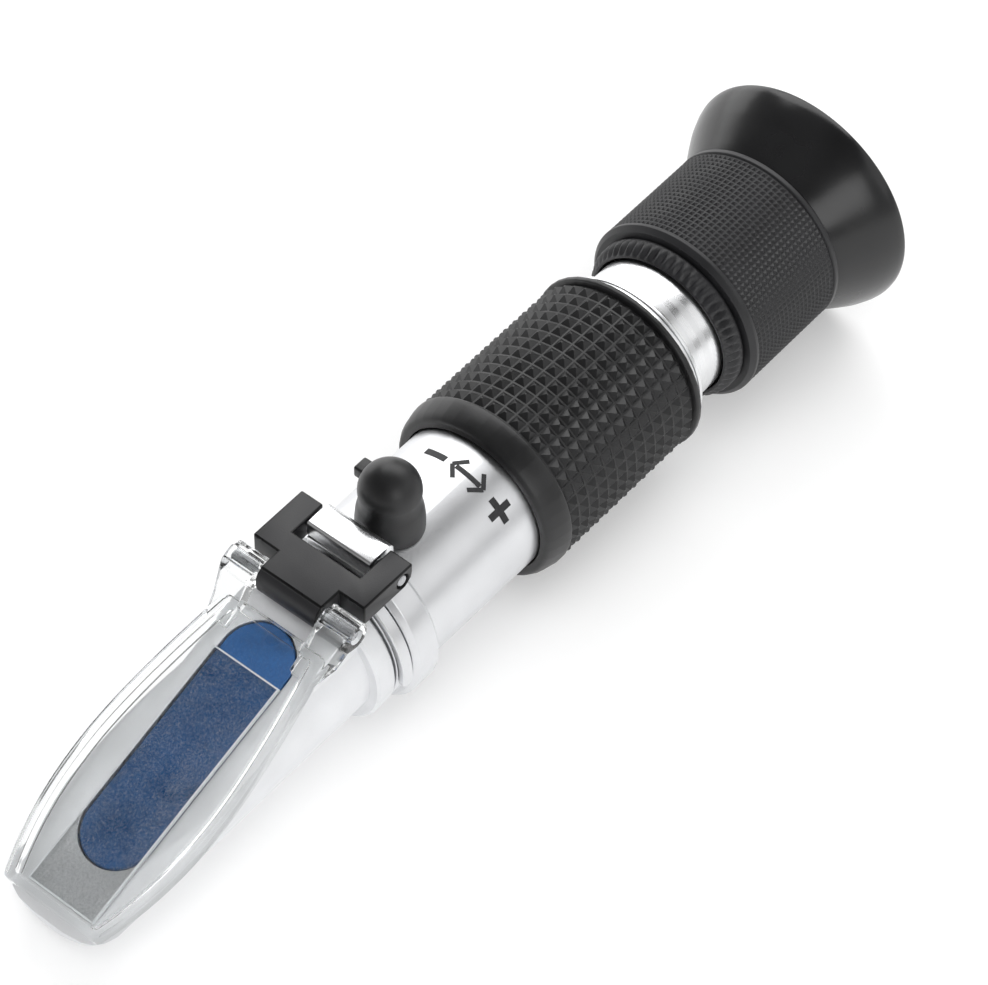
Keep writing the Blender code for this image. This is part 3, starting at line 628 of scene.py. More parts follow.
def slab(points, low, high, matrix=Matrix()):
    """A flat outline raised from one height to another, then placed."""
    return lofted([[(x, y, level) for x, y in points] for level in (low, high)], matrix)


def side_profile(points, low, high):
    """A slab whose outline is given in X and Z, and which runs from one Y to another."""
    return slab(points, -high, -low, Matrix.Rotation(math.radians(90), 4, "X"))


def box(low, high):
    """A block between two opposite corners."""
    low, high = Vector(low), Vector(high)
    return slab([(low.x, low.y), (high.x, low.y), (high.x, high.y), (low.x, high.y)], low.z, high.z)


def mesh_of(name, bm):
    """A mesh of a finished shape, whose working copy is let go."""
    mesh = bpy.data.meshes.new(name)
    bm.to_mesh(mesh)
    bm.free()
    return mesh


def in_scene(name, data):
    """A new object in the scene."""
    made = bpy.data.objects.new(name, data)
    bpy.context.scene.collection.objects.link(made)
    return made


def helper(bm):
    """A loose mesh object, in millimetres, that shapes another piece."""
    bmesh.ops.recalc_face_normals(bm, faces=bm.faces)
    return in_scene("helper", mesh_of("helper", bm))


def carved(start, steps, edge=0.0, segments=3, edge_angle=35, edge_slot=-1):
    """A shape joined with or cut by others, in order, and then given broken edges.

    The broken edges take the finish in edge_slot, counted from 0, if one is named.
    """
    target = helper(start)
    for _ in range(edge_slot + 1):
        target.data.materials.append(None)
    others = []
    for operation, bm in steps:
        other = helper(bm)
        modifier = target.modifiers.new("shape", "BOOLEAN")
        modifier.operation = operation
        modifier.solver = "EXACT"
        modifier.object = other
        others.append(other)
    if edge:
        weld = target.modifiers.new("weld", "WELD")
        weld.merge_threshold = 0.002
        bevel = target.modifiers.new("edges", "BEVEL")
        bevel.width = edge
        bevel.segments = segments
        bevel.limit_method = "ANGLE"
        bevel.angle_limit = math.radians(edge_angle)
        bevel.use_clamp_overlap = True
        bevel.material = edge_slot
    mesh = bpy.data.meshes.new_from_object(target.evaluated_get(bpy.context.evaluated_depsgraph_get()))
    bm = bmesh.new()
    bm.from_mesh(mesh)
    bpy.data.meshes.remove(mesh)
    for other in (target, *others):
        bpy.data.objects.remove(other, do_unlink=True)
    return bm


def piece(name, bm, kind, body="root", replaces=(), other_kinds=()):
    """Places a mesh drawn in millimetres as a finished piece that rides on a body."""
    bmesh.ops.remove_doubles(bm, verts=bm.verts, dist=0.001)
    bmesh.ops.recalc_face_normals(bm, faces=bm.faces)
    mesh = mesh_of(name, placed(bm, SETTING_OUT))
    mesh.shade_smooth()
    mesh.set_sharp_from_angle(angle=SMOOTH_ANGLE)
    for each in (kind, *other_kinds):
        mesh.materials.append(material(each))
    made = in_scene(name, mesh)
    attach(made, body)
    if replaces:
        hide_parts(*replaces)


def refinished(kind, *nodes):
    """Gives CAD nodes that keep their own shape a better material."""
    for node in nodes:
        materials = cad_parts[node].data.materials
        materials.clear()
        materials.append(material(kind))


# ---- the head ----

def window(radius, steps=24):
    """The window's outline in the plane of the prism face."""
    first = WINDOW_START * ALONG_FACE + WINDOW_RADIUS
    last = first + WINDOW_LENGTH - 2 * WINDOW_RADIUS
    return arc_points((first, 0), radius, 90, 270, steps) + arc_points((last, 0), radius, -90, 90, steps)


def head_shape():
    """The casting: a round bar with a flange, planed down to the prism face."""
    _, spigot_end, flange_radius = span("head_casting")
    outline = [
        (0, 0), (0, 6.8), (0.4, 8.5), (1.1, 9.6), (2.2, 10.35), (3.8, HEAD_RADIUS), (HEAD_END, HEAD_RADIUS),
        (HEAD_END, flange_radius - 0.4), (HEAD_END + 0.4, flange_radius), (FLANGE_END - 0.4, flange_radius),
        (FLANGE_END, flange_radius - 0.4), (FLANGE_END, SPIGOT_RADIUS), (spigot_end, SPIGOT_RADIUS),
        (spigot_end, 0),
    ]
    saddle = box((SADDLE_START, -SADDLE_HALF_WIDTH, 4), (HEAD_END + 0.2, SADDLE_HALF_WIDTH, 16))
    far = HEAD_END * ALONG_FACE + 6
    above = slab([(-8, -20), (far, -20), (far, 20), (-8, 20)], 0, 30, FACE)
    pocket = slab(window(WINDOW_RADIUS), -4.5, 1, FACE)
    seal_step = slab(window(WINDOW_RADIUS + SEAL_WIDTH + GAP), SEAL_TOP - 1, SEAL_TOP + GAP, FACE)
    return carved(
        turned(outline),
        [("UNION", saddle), ("DIFFERENCE", above), ("DIFFERENCE", pocket), ("DIFFERENCE", seal_step)],
        edge=0.22, segments=2, edge_angle=50,
    )


def prism_shape():
    """The prism's polished top with a fine ground bevel round it."""
    levels = ((0, -4.2), (0, -PRISM_BEVEL), (PRISM_BEVEL, 0.0))
    radius = WINDOW_RADIUS - GAP
    return lofted([[(x, y, level) for x, y in window(radius - inset)] for inset, level in levels], FACE)


class REFRACTOMETER_OT_head(bpy.types.Operator):
    """Makes the head casting and the prism in its window"""

    bl_idname = "refractometer.head"
    bl_label = "Head and prism"

    def execute(self, context):
        piece(
            "visual_head", head_shape(), "cast_aluminium", replaces=["head_casting"]
        )
        piece("visual_prism", prism_shape(), "blue_prism_glass", replaces=["prism"])
        refinished("grip_rubber", "prism_seal")
        return {"FINISHED"}


# ---- collar, strap and hinge lug ----

def strap_shape(start, end, inside, outside):
    """A bent band whose two ends are half rounds, with softened outer edges."""
    half_width = (end - start) / 2
    centre = (start + end) / 2
    reach = STRAP_ARC / 2
    end_angle = half_width / outside
    angles = [-reach + end_angle * (1 - math.cos(math.radians(15 * step))) for step in range(6)]
    straight = 64
    span_angle = reach - end_angle * (1 - math.cos(math.radians(75)))
    angles += [-span_angle + 2 * span_angle * step / straight for step in range(1, straight)]
    angles += [-angle for angle in reversed(angles[:6])]
    rows = []
    for angle in angles:
        past = max(0.0, (abs(angle) - (reach - end_angle)) / end_angle)
        half = max(half_width * math.sqrt(max(0.0, 1 - past * past)), 0.02)
        soft = min(0.2, half * 0.4)
        section = [
            (centre - half, inside), (centre - half, outside - soft), (centre - half + soft, outside),
            (centre + half - soft, outside), (centre + half, outside - soft), (centre + half, inside),
        ]
        rows.append([(x, -r * math.sin(angle), r * math.cos(angle)) for x, r in section])
    return lofted(rows)


def collar_shape():
    """The collar: a step for the strap, a wider ring behind it, and holes for the grub screws."""
    start, end, radius = span("collar")
    outline = rounded(
        [
            (start, SPIGOT_RADIUS + GAP), (start, COLLAR_STEP_RADIUS), (COLLAR_STEP, COLLAR_STEP_RADIUS),
            (COLLAR_STEP, radius - 0.9), (COLLAR_STEP + 0.9, radius), (end - 0.7, radius),
            (end, radius - 0.7), (end, TUBE_CLEARANCE), (COLLAR_GROOVE, TUBE_CLEARANCE),
            (COLLAR_GROOVE, SPIGOT_RADIUS + GAP),
        ],
        0.3,
    )
    cuts = []
    for number in range(1, 4):
        centre = middle(f"collar_grub_{number}")
        outward = Vector((0, centre.y, centre.z))
        turn = Vector((1, 0, 0)).rotation_difference(outward).to_matrix().to_4x4()
        hole = placed(plug(GRUB_HOLE, -6, 6, 24), Matrix.Translation(centre) @ turn)
        cuts.append(("DIFFERENCE", hole))
    return carved(turned(outline), cuts)


def lug_shape():
    """The polished hinge lug: a block seated on the collar, slotted across its front."""
    start, end, half_width = span("hinge_lug")
    top = height("hinge_lug")[1]
    outline = [
        (start, 11), (end, 11), (end, top - 1.0), (end - 0.5, top - 0.3), (end - 1.2, top),
        (start + 0.3, top), (start, top - 0.3),
    ]
    seat = plug(LUG_SEAT, 50, 75)
    chamfer = side_profile([(start - 1, top - 3.4), (start + 0.7, top - 3.0), (start - 1, top - 2.2)], -9, 9)
    return carved(
        side_profile(outline, -half_width, half_width),
        [("DIFFERENCE", seat), ("DIFFERENCE", pin_hole(LUG_PIN, 12)), ("DIFFERENCE", chamfer)],
        edge=0.16, segments=2,
    )


class REFRACTOMETER_OT_collar(bpy.types.Operator):
    """Makes the collar, the hinge strap round it and the hinge lug on top"""

    bl_idname = "refractometer.collar"
    bl_label = "Collar, strap and lug"

    def execute(self, context):
        piece("visual_collar", collar_shape(), "satin_aluminium", replaces=["collar"])
        start, end, outside = span("hinge_strap")
        slot = box((start + 0.7, -1.5, outside - 0.5), (end - 0.6, 3.5, outside + 1))
        strap = carved(strap_shape(start, end, COLLAR_STEP_RADIUS + GAP, outside), [("DIFFERENCE", slot)])
        piece("visual_strap", strap, "satin_aluminium", replaces=["hinge_strap"])
        piece("visual_lug", lug_shape(), "bright_aluminium", replaces=["hinge_lug"])
        refinished("steel", "lug_pin", "collar_grub_1", "collar_grub_2", "collar_grub_3")
        return {"FINISHED"}


# ---- hinge block and daylight plate ----

def block_shape():
    """A block shaped like an H: arms straddle the lug, a barrelled tongue sits between the ears."""
    start, end, _ = span("hinge_block")
    front, rear = 54.6, 58.4
    arm = [
        (front, HINGE_UNDER), (end - 1.6, HINGE_UNDER), (end - 0.3, HINGE_UNDER + 1.0),
        (end, HINGE_UNDER + 2.2), (end, HINGE_TOP), (front, HINGE_TOP),
    ]
    tongue = [
        (front - 0.8, 13.0), (rear - 1.4, HINGE_UNDER + 0.2), (rear - 1.4, HINGE_TOP),
        (start + 1.3, HINGE_TOP), (start + 1.2, HINGE_TOP - 0.35), (start + 0.55, HINGE_TOP - 0.75),
        (start + 0.1, HINGE_TOP - 1.7), (start, HINGE_TOP - 2.8), (start + 0.25, 13.9), (start + 1.0, 13.0),
    ]
    slot = box((rear, -ARM_INSIDE, 10), (end + 5, ARM_INSIDE, 22))
    # The broken edges take the second finish, a darker copy of the plastic that is painted shade.
    return carved(
        side_profile(arm, -ARM_OUTSIDE, ARM_OUTSIDE),
        [
            ("DIFFERENCE", slot), ("UNION", side_profile(tongue, -TONGUE_HALF_WIDTH, TONGUE_HALF_WIDTH)),
            ("DIFFERENCE", pin_hole(LUG_PIN)), ("DIFFERENCE", pin_hole(PLATE_PIN)),
        ],
        edge=sizes().edge_radius, segments=3, edge_angle=50, edge_slot=1,
    )


def plate_half_width(x):
    """Half the width of the daylight plate: a bow that is widest a little before its middle."""
    front, widest, rear = 8.3, 12.4, 8.9
    peak = 23.0
    if x < peak:
        return widest - (widest - front) * ((peak - x) / (peak - PLATE_FRONT)) ** 2.3
    return widest - (widest - rear) * ((x - peak) / (PLATE_REAR - peak)) ** 1.6


def plate_outline(inset, steps=40, corner=0.9):
    """The plate's outline in the plane of the face, moved inwards, with rounded corners."""
    start, end = PLATE_FRONT + inset * 0.7, PLATE_REAR - inset * 0.7
    stations = [start + (end - start) * step / steps for step in range(steps + 1)]
    left = [(x * ALONG_FACE, plate_half_width(x) - inset) for x in stations]
    return rounded(left + [(x, -y) for x, y in reversed(left)], corner, steps=5)


def tray_shape():
    """A raised, rounded rim round a thin panel."""
    rim = sizes().rim_width
    levels = (
        (rim + 0.1, PANEL_UNDER), (rim, RIM_UNDER + 0.15), (rim - 0.15, RIM_UNDER), (0.15, RIM_UNDER),
        (0.0, RIM_UNDER + 0.15), (0.0, RIM_TOP - 0.7), (0.1, RIM_TOP - 0.35), (0.32, RIM_TOP - 0.1),
        (0.6, RIM_TOP), (rim - 0.5, RIM_TOP), (rim - 0.2, RIM_TOP - 0.1), (rim, RIM_TOP - 0.35),
        (rim + 0.25, PANEL_TOP),
    )
    return lofted([[(x, y, level) for x, y in plate_outline(inset)] for inset, level in levels], FACE)


def ear_outline():
    """The side of an ear: a web that rises from the tray to a ribbed round eye for the pin."""
    rear = FACE_START_Z + FACE_SLOPE * PLATE_REAR
    web = [(44.0, rear - 0.7), (47.8, rear + 0.7), (49.6, PLATE_PIN.z - 1.8)]
    eye = []
    ribs = ((-110, 20, 0), (20, 52, 0), (58, 84, -0.35), (90, 118, 0))
    for first, last, sunk in ribs:
        eye += arc_points((PLATE_PIN.x, PLATE_PIN.z), EAR_RADIUS + sunk, first, last, 6)
    return web + eye + [(48.9, PLATE_PIN.z + 1.1), (46.2, rear + 2.6), (43.6, rear + 1.1)]


def ear_shape(outward):
    """One ear, narrowed towards the tray so that its outside runs on from the tray's curve."""
    low, high = sorted((EAR_INSIDE * outward, EAR_OUTSIDE * outward))
    bm = side_profile(ear_outline(), low, high)
    start, end = Vector((43.6, 9.5 * outward, 0)), Vector((49.4, EAR_OUTSIDE * outward, 0))
    run = end - start
    bmesh.ops.bisect_plane(
        bm, geom=bm.verts[:] + bm.edges[:] + bm.faces[:], plane_co=start,
        plane_no=Vector((-run.y, run.x, 0)) * outward, clear_outer=True,
    )
    bmesh.ops.holes_fill(bm, edges=[edge for edge in bm.edges if edge.is_boundary], sides=0)
    return carved(bm, [], edge=0.45, segments=4, edge_angle=60)


def plate_shape():
    """The clear tray with its ears, and a low passage at the rear for the hinge block's tongue."""
    start, end = (PLATE_REAR - 2.2) * ALONG_FACE, (PLATE_REAR + 2) * ALONG_FACE
    half_width = 5.4
    corners = [(start, -half_width), (end, -half_width), (end, half_width), (start, half_width)]
    passage = slab(rounded(corners, 0.8), PANEL_TOP, RIM_TOP + 2, FACE)
    return carved(
        tray_shape(),
        [
            ("UNION", ear_shape(1)), ("UNION", ear_shape(-1)), ("DIFFERENCE", pin_hole(PLATE_PIN)),
            ("DIFFERENCE", passage),
        ],
    )


def pad_shape():
    """The frosted pad, with a narrow sawn bevel that takes the second finish."""
    loops = []
    for inset, level in ((0, PAD_UNDER), (0, PAD_TOP - 0.1), (PAD_BEVEL, PAD_TOP)):
        start, end = PAD_START * ALONG_FACE + inset, PAD_END * ALONG_FACE - inset
        side = PAD_HALF_WIDTH - inset
        loops.append([(start, -side, level), (end, -side, level), (end, side, level), (start, side, level)])
    bm = lofted(loops, FACE)
    # The sides and the bevel take the second finish, the painted highlight along the pad's edge.
    for face in list(bm.faces)[:-2]:
        face.material_index = 1
    return bm


class REFRACTOMETER_OT_daylight_plate(bpy.types.Operator):
    """Makes the hinge block, the clear daylight plate and its frosted pad"""

    bl_idname = "refractometer.daylight_plate"
    bl_label = "Hinge block and daylight plate"

    def execute(self, context):
        # The hinge block's edges take a darker copy of its plastic as painted shade.
        piece(
            "visual_hinge_block", block_shape(), "black_plastic", "hinge_block", ["hinge_block"],
            other_kinds=["edge_shade_plastic"],
        )
        piece("visual_daylight_plate", plate_shape(), "clear_acrylic", "daylight_plate", ["daylight_plate"])
        piece(
            "visual_diffuser_pad", pad_shape(), "frosted_acrylic", "daylight_plate", ["diffuser_pad"],
            other_kinds=["edge_highlight_acrylic"],
        )
        refinished("steel", "plate_pin")
        return {"FINISHED"}


# ---- tube, grip and draw tube ----

def tube_shape():
    """The main tube, with a hole for the calibration boss."""
    start, end, radius = span("main_tube")
    outline = rounded([(start, TUBE_BORE), (start, radius), (end, radius), (end, TUBE_BORE)], 0.25)
    hole = upright(plug(BOSS_CLEARANCE, 5, 20, SMALL_STEPS), (SCREW_X, 0, 0))
    return carved(turned(outline), [("DIFFERENCE", hole)])


def with_studs(outline, first, last, pitch, land, groove):
    """The outline carried on along rows of studs, and which of its segments rise as studs."""
    rows = round((last - first) / pitch)
    length = (last - first) / rows
    studs = set()
    for row in range(rows):
        low = first + length * row
        studs.add(len(outline))
        outline = outline + [(low + groove / 2, land), (low + length - groove / 2, land)]
    return outline, studs


def grip_shape():
    """The rubber sleeve: a smooth front lip, square studs and a rear bead."""
    start, end, bead = span("grip_sleeve")
    pitch, relief = sizes().grip_pitch, sizes().grip_relief
    land = bead - 0.2 - relief
    inside = span("main_tube")[2] + GAP
    around = round(math.tau * land / pitch)
    groove = 0.28
    lip = rounded(
        [(start, inside), (start, inside + 1.3), (start + 1.1, land + 0.25), (start + 3.4, land + relief),
         (start + 4.5, land + relief), (start + 4.7, land)],
        0.9, closed=False, steps=6,
    )
    bead_start = end - 1.3
    outline, studs = with_studs(lip, start + 4.9, bead_start, pitch, land, groove)
    outline += rounded(
        [(bead_start, land), (bead_start + 0.25, bead), (end - 0.1, bead), (end - 0.1, inside + 0.8),
         (end, inside)], 0.4, closed=False,
    )
    return turned(outline, stud_angles(around, groove / land), studs, relief, flat=0.12)


def on_tube(across, along, turn, radius):
    """A point of a flat mark wrapped round the tube; turn is the mark's own angle from the top."""
    angle = turn + across / radius
    return (along, -radius * math.sin(angle), radius * math.cos(angle))


def bar(bm, start, end, width, place, turn, radius, pieces=8):
    """A straight stroke of a printed mark, from start to end in its own (across, along) millimetres."""
    start, end = Vector(start), Vector(end)
    side = (end - start).orthogonal().normalized() * width / 2
    previous = None
    for step in range(pieces + 1):
        point = start.lerp(end, step / pieces)
        pair = []
        for edge in (point - side, point + side):
            pair.append(bm.verts.new(on_tube(edge.x, place + edge.y, turn, radius)))
        if previous:
            bm.faces.new((previous[0], previous[1], pair[1], pair[0]))
        previous = pair


def marks_shape():
    """Adjustment marks by the calibration cap: a minus, a two-headed arrow and a plus."""
    radius = span("main_tube")[2] + 0.02
    place = MARKS_PLACE
    bm = bmesh.new()
    minus, arrow, plus = (math.radians(degrees) for degrees in (-14, 14, 45))
    bar(bm, (-1.9, 0), (1.9, 0), 1.1, place, minus, radius)
    bar(bm, (-2.3, 0), (2.3, 0), 0.8, place, arrow, radius)
    for side in (-1, 1):
        for tip in (-1, 1):
            bar(bm, (3.0 * side, 0), (1.4 * side, 1.9 * tip), 0.7, place, arrow, radius, 4)
    bar(bm, (-2.1, 0), (2.1, 0), 1.1, place, plus, radius)
    bar(bm, (0, 0.55), (0, 2.1), 1.1, place, plus, radius, 3)
    bar(bm, (0, -0.55), (0, -2.1), 1.1, place, plus, radius, 3)
    top = bmesh.ops.extrude_face_region(bm, geom=bm.faces[:])["geom"]
    for vert in (item for item in top if isinstance(item, bmesh.types.BMVert)):
        stretch = (radius + 0.03) / radius
        vert.co.y *= stretch
        vert.co.z *= stretch
    # the operator gives its faces in no fixed order
    bm.faces.sort(key=lambda face: face.calc_center_median().dot((1, 1.37, 0.61)))
    return bm


def flange_shape():
    """The bright rear flange, with a fine groove behind its front edge."""
    start, end, radius = span("rear_flange")
    outline = rounded(
        [(start, 11.3), (start, radius - 0.1), (start + 0.9, radius - 0.1), (start + 0.95, radius - 0.28),
         (start + 1.1, radius), (end - 0.3, radius), (end, radius - 0.5), (end, 12.2), (end, 11.3)], 0.12,
    )
    return turned(outline)


def draw_tube_shape():
    """The draw tube: a thinner front with a groove for the O-ring, and a slot for the guide screw."""
    start, end, radius = span("draw_tube")
    shoulder = span("rear_flange")[1] + GAP
    groove_start, groove_end = O_RING_GROOVE
    outline = rounded(
        [(start, 8.9), (start, DRAW_FRONT_RADIUS), (groove_start, DRAW_FRONT_RADIUS),
         (groove_start, O_RING_FLOOR), (groove_end, O_RING_FLOOR), (groove_end, DRAW_FRONT_RADIUS),
         (shoulder, DRAW_FRONT_RADIUS), (shoulder, radius), (end, radius), (end, DRAW_BORE),
         (130, DRAW_BORE), (130, 8.9)],
        0.2,
    )
    guide = middle("guide_screw")
    slot = box((guide.x - 4, -1.2, -14), (guide.x + 4, 1.2, -5))
    return carved(turned(outline), [("DIFFERENCE", slot)])


class REFRACTOMETER_OT_tube(bpy.types.Operator):
    """Makes the main tube with its printed marks, the studded grip, the flange and the draw tube"""

    bl_idname = "refractometer.tube"
    bl_label = "Tube, grip and draw tube"

    def execute(self, context):
        piece("visual_main_tube", tube_shape(), "satin_aluminium", replaces=["main_tube"])
        piece("visual_marks", marks_shape(), "ink")
        piece("visual_grip", grip_shape(), "grip_rubber", replaces=["grip_sleeve"])
        piece("visual_rear_flange", flange_shape(), "bright_aluminium", replaces=["rear_flange"])
        piece("visual_draw_tube", draw_tube_shape(), "bright_aluminium", replaces=["draw_tube"])
        refinished("grip_rubber", "tube_o_ring")
        refinished(
            "black_anodised", "front_stop", "light_baffle", "reticle_cell", "reticle_ring", "strip_anchor"
        )
        refinished("optical_glass", "reticle")
        return {"FINISHED"}


# ---- calibration ----

def cap_shape():
    """The soft cap: a flared skirt cut to the tube, a narrow waist and a round bulb with a pull tab."""
    bulb_radius, centre_z = 4.65, 19.4
    bulb = arc_points((centre_z, 0), bulb_radius, 96, 0, 20)
    hollow = arc_points((centre_z, 0), bulb_radius - 0.95, 0, 90, 12)
    outside = rounded(
        [(11.0, 5.1), (13.4, 5.1), (15.2, 4.95), (16.5, 4.7), (17.3, 4.45), (18.9, 4.64)], 0.8, closed=False
    )
    inside = [(16.4, 3.3), (14.6, 3.9), (11.0, 3.9)]
    top = [(z, max(r, 0.0)) for z, r in bulb[:-1]]
    under = [(z, max(r, 0.0)) for z, r in hollow[1:]]
    outline = [(hollow[0][0], 0)] + under + inside + outside[:-1] + top + [(bulb[-1][0], 0)]
    cap = upright(turned(outline, even_angles(72)), (SCREW_X, 0, 0))
    tab = carved(box(*CAP_TAB), [], edge=0.35)
    return carved(cap, [("UNION", tab), ("DIFFERENCE", plug(TUBE_CLEARANCE, 60, 85))])


class REFRACTOMETER_OT_calibration(bpy.types.Operator):
    """Makes the calibration cap and finishes the screw, the boss and the objective inside"""

    bl_idname = "refractometer.calibration"
    bl_label = "Calibration cap and screw"

    def execute(self, context):
        piece(
            "visual_cap", cap_shape(), "grip_rubber", "calibration_cap", ["calibration_cap"],
        )
        refinished("brass", "calibration_boss")
        refinished("steel", "calibration_screw", "strip_screw_1", "strip_screw_2")
        refinished("bimetal", "bimetal_strip")
        refinished("black_anodised", "objective_carriage", "objective_retainer")
        refinished("optical_glass", "objective_lens")
        return {"FINISHED"}


# ---- eyepiece ----

def focus_ring_shape():
    """The focusing ring: fine square studs between two smooth bands, and a neck for the eyecup."""
    start, neck_end, radius = span("focus_ring")
    ring_end = span("eyecup")[0] - GAP
    pitch, relief = sizes().ring_pitch, sizes().ring_relief
    land = radius - relief
    groove = 0.16
    around = round(math.tau * land / pitch)
    first, last = start + 1.5, ring_end - 1.1
    front = rounded(
        [(start, RING_BORE), (start, radius - 0.75), (start + 0.7, radius), (first - 0.2, radius),
         (first - 0.05, land)], 0.25, closed=False,
    )
    outline, studs = with_studs(front, first, last, pitch, land, groove)
    web_end = span("eyepiece_barrel")[1] - 2.4
    outline += rounded(
        [(last + 0.05, land), (last + 0.2, radius), (ring_end, radius), (ring_end, NECK_RADIUS),
         (neck_end, NECK_RADIUS), (neck_end, 12.9), (web_end, 12.9), (web_end, DRAW_BORE),
         (WEB_START, DRAW_BORE), (WEB_START, RING_BORE)], 0.3, closed=False,
    )
    return turned(outline, stud_angles(around, groove / land), studs, relief, flat=0.12)


def toothed_ring_shape():
    """The front ring: a sloping face cut into rounded teeth."""
    start, end, _ = span("toothed_ring")
    count = sizes().teeth
    per_tooth = 6
    bm = turned(
        rounded(
            [(start, RING_BORE), (start, 12.75), (start + 0.55, 13.1), (start + 1.1, 13.35),
             (start + 1.7, 13.6), (end - 0.5, 13.9), (end, 13.9), (end, RING_BORE)], 0.2, steps=3,
        ),
        even_angles(count * per_tooth),
    )
    for vert in bm.verts:
        radius = math.hypot(vert.co.y, vert.co.z)
        wave = 0.5 + 0.5 * math.cos(count * math.atan2(vert.co.y, vert.co.z))
        slope = min(max((radius - 12.7) / 0.5, 0), 1) * min(max((end - 0.6 - vert.co.x) / 0.5, 0), 1)
        lift = 0.45 * slope * (wave ** 0.7 - 0.35)
        vert.co.y *= (radius + lift) / radius
        vert.co.z *= (radius + lift) / radius
        vert.co.x -= 0.25 * slope * (wave - 0.5)
    return bm


def eyecup_shape():
    """The eyecup: one soft funnel with a rolled rim and a shoulder inside."""
    start, end, radius = span("eyecup")
    outer = [
        (start, 13.7), (start, 14.8), (start + 0.3, 15.0), (160.6, 15.7), (162.5, 16.8), (164.5, 18.0),
        (166.5, 19.1), (168.3, 19.8), (169.1, radius), (end - 0.25, radius), (end, radius - 0.25),
    ]
    inner = [
        (end, 19.0), (end - 0.35, 18.72), (168.6, 18.45), (166.8, 17.6), (165.0, 16.3), (163.7, 14.7),
        (163.1, 13.2), (162.8, 12.0),
    ]
    shoulder = span("focus_ring")[1] + GAP
    return turned(rounded(outer + inner + [(shoulder, 12.0), (shoulder, 13.7)], 0.5), even_angles(160))


class REFRACTOMETER_OT_eyepiece(bpy.types.Operator):
    """Makes the focusing ring, the toothed ring and the eyecup, and finishes the lenses"""

    bl_idname = "refractometer.eyepiece"
    bl_label = "Focusing ring and eyecup"

    def execute(self, context):
        piece("visual_focus_ring", focus_ring_shape(), "black_plastic", "focus_ring", ["focus_ring"])
        piece("visual_toothed_ring", toothed_ring_shape(), "black_plastic", "focus_ring", ["toothed_ring"])
        piece("visual_eyecup", eyecup_shape(), "black_rubber", "focus_ring", ["eyecup"])
        refinished("black_anodised", "clamp_ring", "eyepiece_barrel", "lens_spacer", "eye_lens_ring")
        refinished("steel", "guide_screw")
        refinished("optical_glass", "field_lens", "eye_lens")
        return {"FINISHED"}


# ---- studio ----

# The camera looks down on the plate from the light end; angles are degrees, lengths millimetres.
CAMERA_AZIMUTH = 51.5
CAMERA_ELEVATION = 51.05
CAMERA_ROLL = 1.35
CAMERA_DISTANCE = 608.8
CAMERA_AIM = Vector((91.6, -3.0, 2.6))
CAMERA_LENS = 153.0
FLOOR_REACH = 3000.0
FLOOR_CLEARANCE = 0.05
# The floor touches the collar and the eyecup's rim, as the instrument lies on a table.
FLOOR_CONTACTS = ((62.0, -14.2), (170.0, -20.0))
# Each softbox: its name, the direction it stands in, its distance, width, depth and brightness.
SOFTBOXES = (
    ("overhead_softbox", (0.62, 0.3, 0.73), 950, 1150, 640, 2.6),
    ("far_softbox", (0.45, 0.88, 0.18), 900, 900, 420, 1.6),
    ("near_softbox", (-0.34, -0.82, 0.46), 900, 460, 460, 2.2),
    ("side_softbox", (0.5, -0.72, 0.48), 900, 820, 560, 0.75),
    ("fill_softbox", (-0.3, -0.2, 0.93), 950, 900, 900, 2.2),
)


def direction(azimuth, elevation):
    """A unit vector towards a place seen at these angles, in degrees; azimuth 0 is -Y."""
    a, e = math.radians(azimuth), math.radians(elevation)
    return Vector((math.sin(a) * math.cos(e), -math.cos(a) * math.cos(e), math.sin(e)))


def softbox(name, towards, distance, width, depth, brightness):
    """A rectangular soft light aimed at the middle of the instrument."""
    towards = Vector(towards)
    light = bpy.data.lights.new(name, "AREA")
    light.shape = "RECTANGLE"
    light.size = width * MM
    light.size_y = depth * MM
    light.energy = brightness * math.pi * width * depth * MM * MM
    made = in_scene(name, light)
    made.location = towards * distance * MM
    made.rotation_euler = towards.to_track_quat("Z", "Y").to_euler()
    made.visible_camera = False
    # The fill lights the prism's face and leaves its gloss clear.
    made.visible_glossy = name != "fill_softbox"


def studio_room():
    """Pale walls that fade upwards into a dark ceiling."""
    world = bpy.data.worlds.new("studio_room")
    world.use_nodes = True
    tree = world.node_tree
    place = add(tree, "ShaderNodeTexCoord")
    parts = add(tree, "ShaderNodeSeparateXYZ", {"Vector": place.outputs["Generated"]})
    fade = add(
        tree, "ShaderNodeMapRange",
        {"Value": parts.outputs["Z"], "From Min": 0.1, "From Max": 0.75, "To Min": 0.42, "To Max": 0.14},
    )
    tree.links.new(fade.outputs[0], tree.nodes["Background"].inputs["Strength"])
    tree.nodes["Background"].inputs["Color"].default_value = (1, 1, 1, 1)
    return world


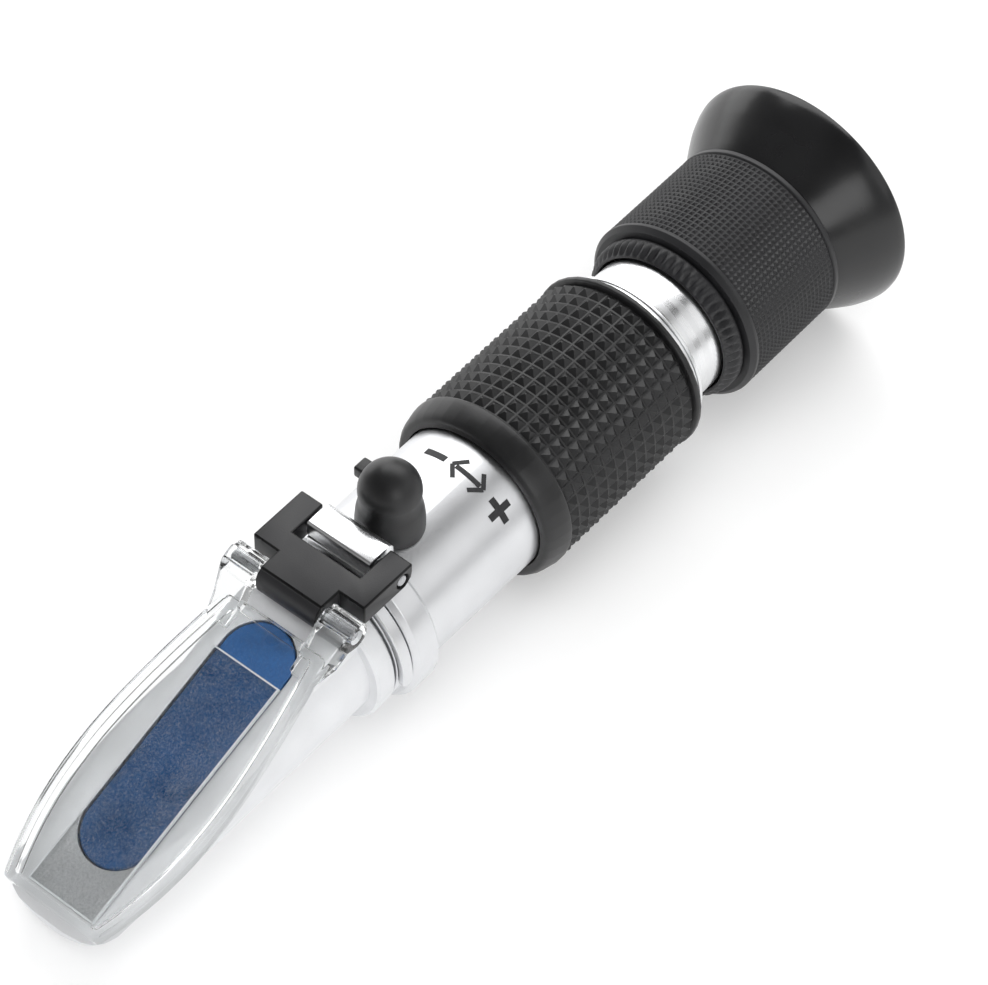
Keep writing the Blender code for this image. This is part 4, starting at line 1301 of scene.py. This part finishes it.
class REFRACTOMETER_OT_studio(bpy.types.Operator):
    """Makes the floor, the soft lights and the camera"""

    bl_idname = "refractometer.studio"
    bl_label = "Studio"

    def execute(self, context):
        scene = context.scene
        (x1, z1), (x2, z2) = FLOOR_CONTACTS
        lean = math.atan2(z2 - z1, x2 - x1)
        corners = [(-1, -1), (1, -1), (1, 1), (-1, 1)]
        bm = bmesh.new()
        floor_matrix = Matrix.Translation((x1, 0, z1)) @ Matrix.Rotation(-lean, 4, "Y")
        for x, y in corners:
            bm.verts.new(floor_matrix @ Vector((x * FLOOR_REACH, y * FLOOR_REACH, -FLOOR_CLEARANCE)))
        bm.faces.new(list(bm.verts))
        mesh = mesh_of("floor", placed(bm, SETTING_OUT))
        mesh.materials.append(material("floor"))
        floor = in_scene("floor", mesh)

        scene.world = studio_room()
        scene.view_settings.view_transform = "Standard"
        for settings in SOFTBOXES:
            softbox(*settings)

        data = bpy.data.cameras.new("camera")
        data.lens = CAMERA_LENS
        data.clip_start = 0.01
        camera = in_scene("camera", data)
        back = direction(-CAMERA_AZIMUTH, CAMERA_ELEVATION)
        camera.location = SETTING_OUT @ (CAMERA_AIM + back * CAMERA_DISTANCE)
        roll = Matrix.Rotation(math.radians(CAMERA_ROLL), 3, "Z").to_quaternion()
        camera.rotation_euler = (back.to_track_quat("Z", "Y") @ roll).to_euler()
        scene.camera = camera
        return {"FINISHED"}


# ---- panel and registration ----

OPERATORS = (
    REFRACTOMETER_OT_head, REFRACTOMETER_OT_collar, REFRACTOMETER_OT_daylight_plate, REFRACTOMETER_OT_tube,
    REFRACTOMETER_OT_calibration, REFRACTOMETER_OT_eyepiece, REFRACTOMETER_OT_studio,
)


class REFRACTOMETER_PT_panel(bpy.types.Panel):
    """Lists the instrument's sizes, colours and pieces"""

    bl_idname = "REFRACTOMETER_PT_panel"
    bl_label = "Refractometer"
    bl_space_type = "VIEW_3D"
    bl_region_type = "UI"
    bl_category = "Refractometer"

    def draw(self, context):
        for group in (context.scene.refractometer_sizes, context.scene.refractometer_colours):
            column = self.layout.column(align=True)
            for name in group.__annotations__:
                column.prop(group, name)
        for operator in OPERATORS:
            self.layout.operator(operator.bl_idname)


CLASSES = (RefractometerSizes, RefractometerColours, *OPERATORS, REFRACTOMETER_PT_panel)


def register():
    """Adds the classes and the settings."""
    for each in CLASSES:
        bpy.utils.register_class(each)
    bpy.types.Scene.refractometer_sizes = bpy.props.PointerProperty(type=RefractometerSizes)
    bpy.types.Scene.refractometer_colours = bpy.props.PointerProperty(type=RefractometerColours)


def unregister():
    """Takes the settings and the classes away."""
    del bpy.types.Scene.refractometer_colours
    del bpy.types.Scene.refractometer_sizes
    for each in reversed(CLASSES):
        bpy.utils.unregister_class(each)


def main():
    """Builds the instrument and the studio."""
    register()
    bpy.ops.refractometer.head()
    bpy.ops.refractometer.collar()
    bpy.ops.refractometer.daylight_plate()
    bpy.ops.refractometer.tube()
    bpy.ops.refractometer.calibration()
    bpy.ops.refractometer.eyepiece()
    bpy.ops.refractometer.studio()


if __name__ == "__main__":
    main()
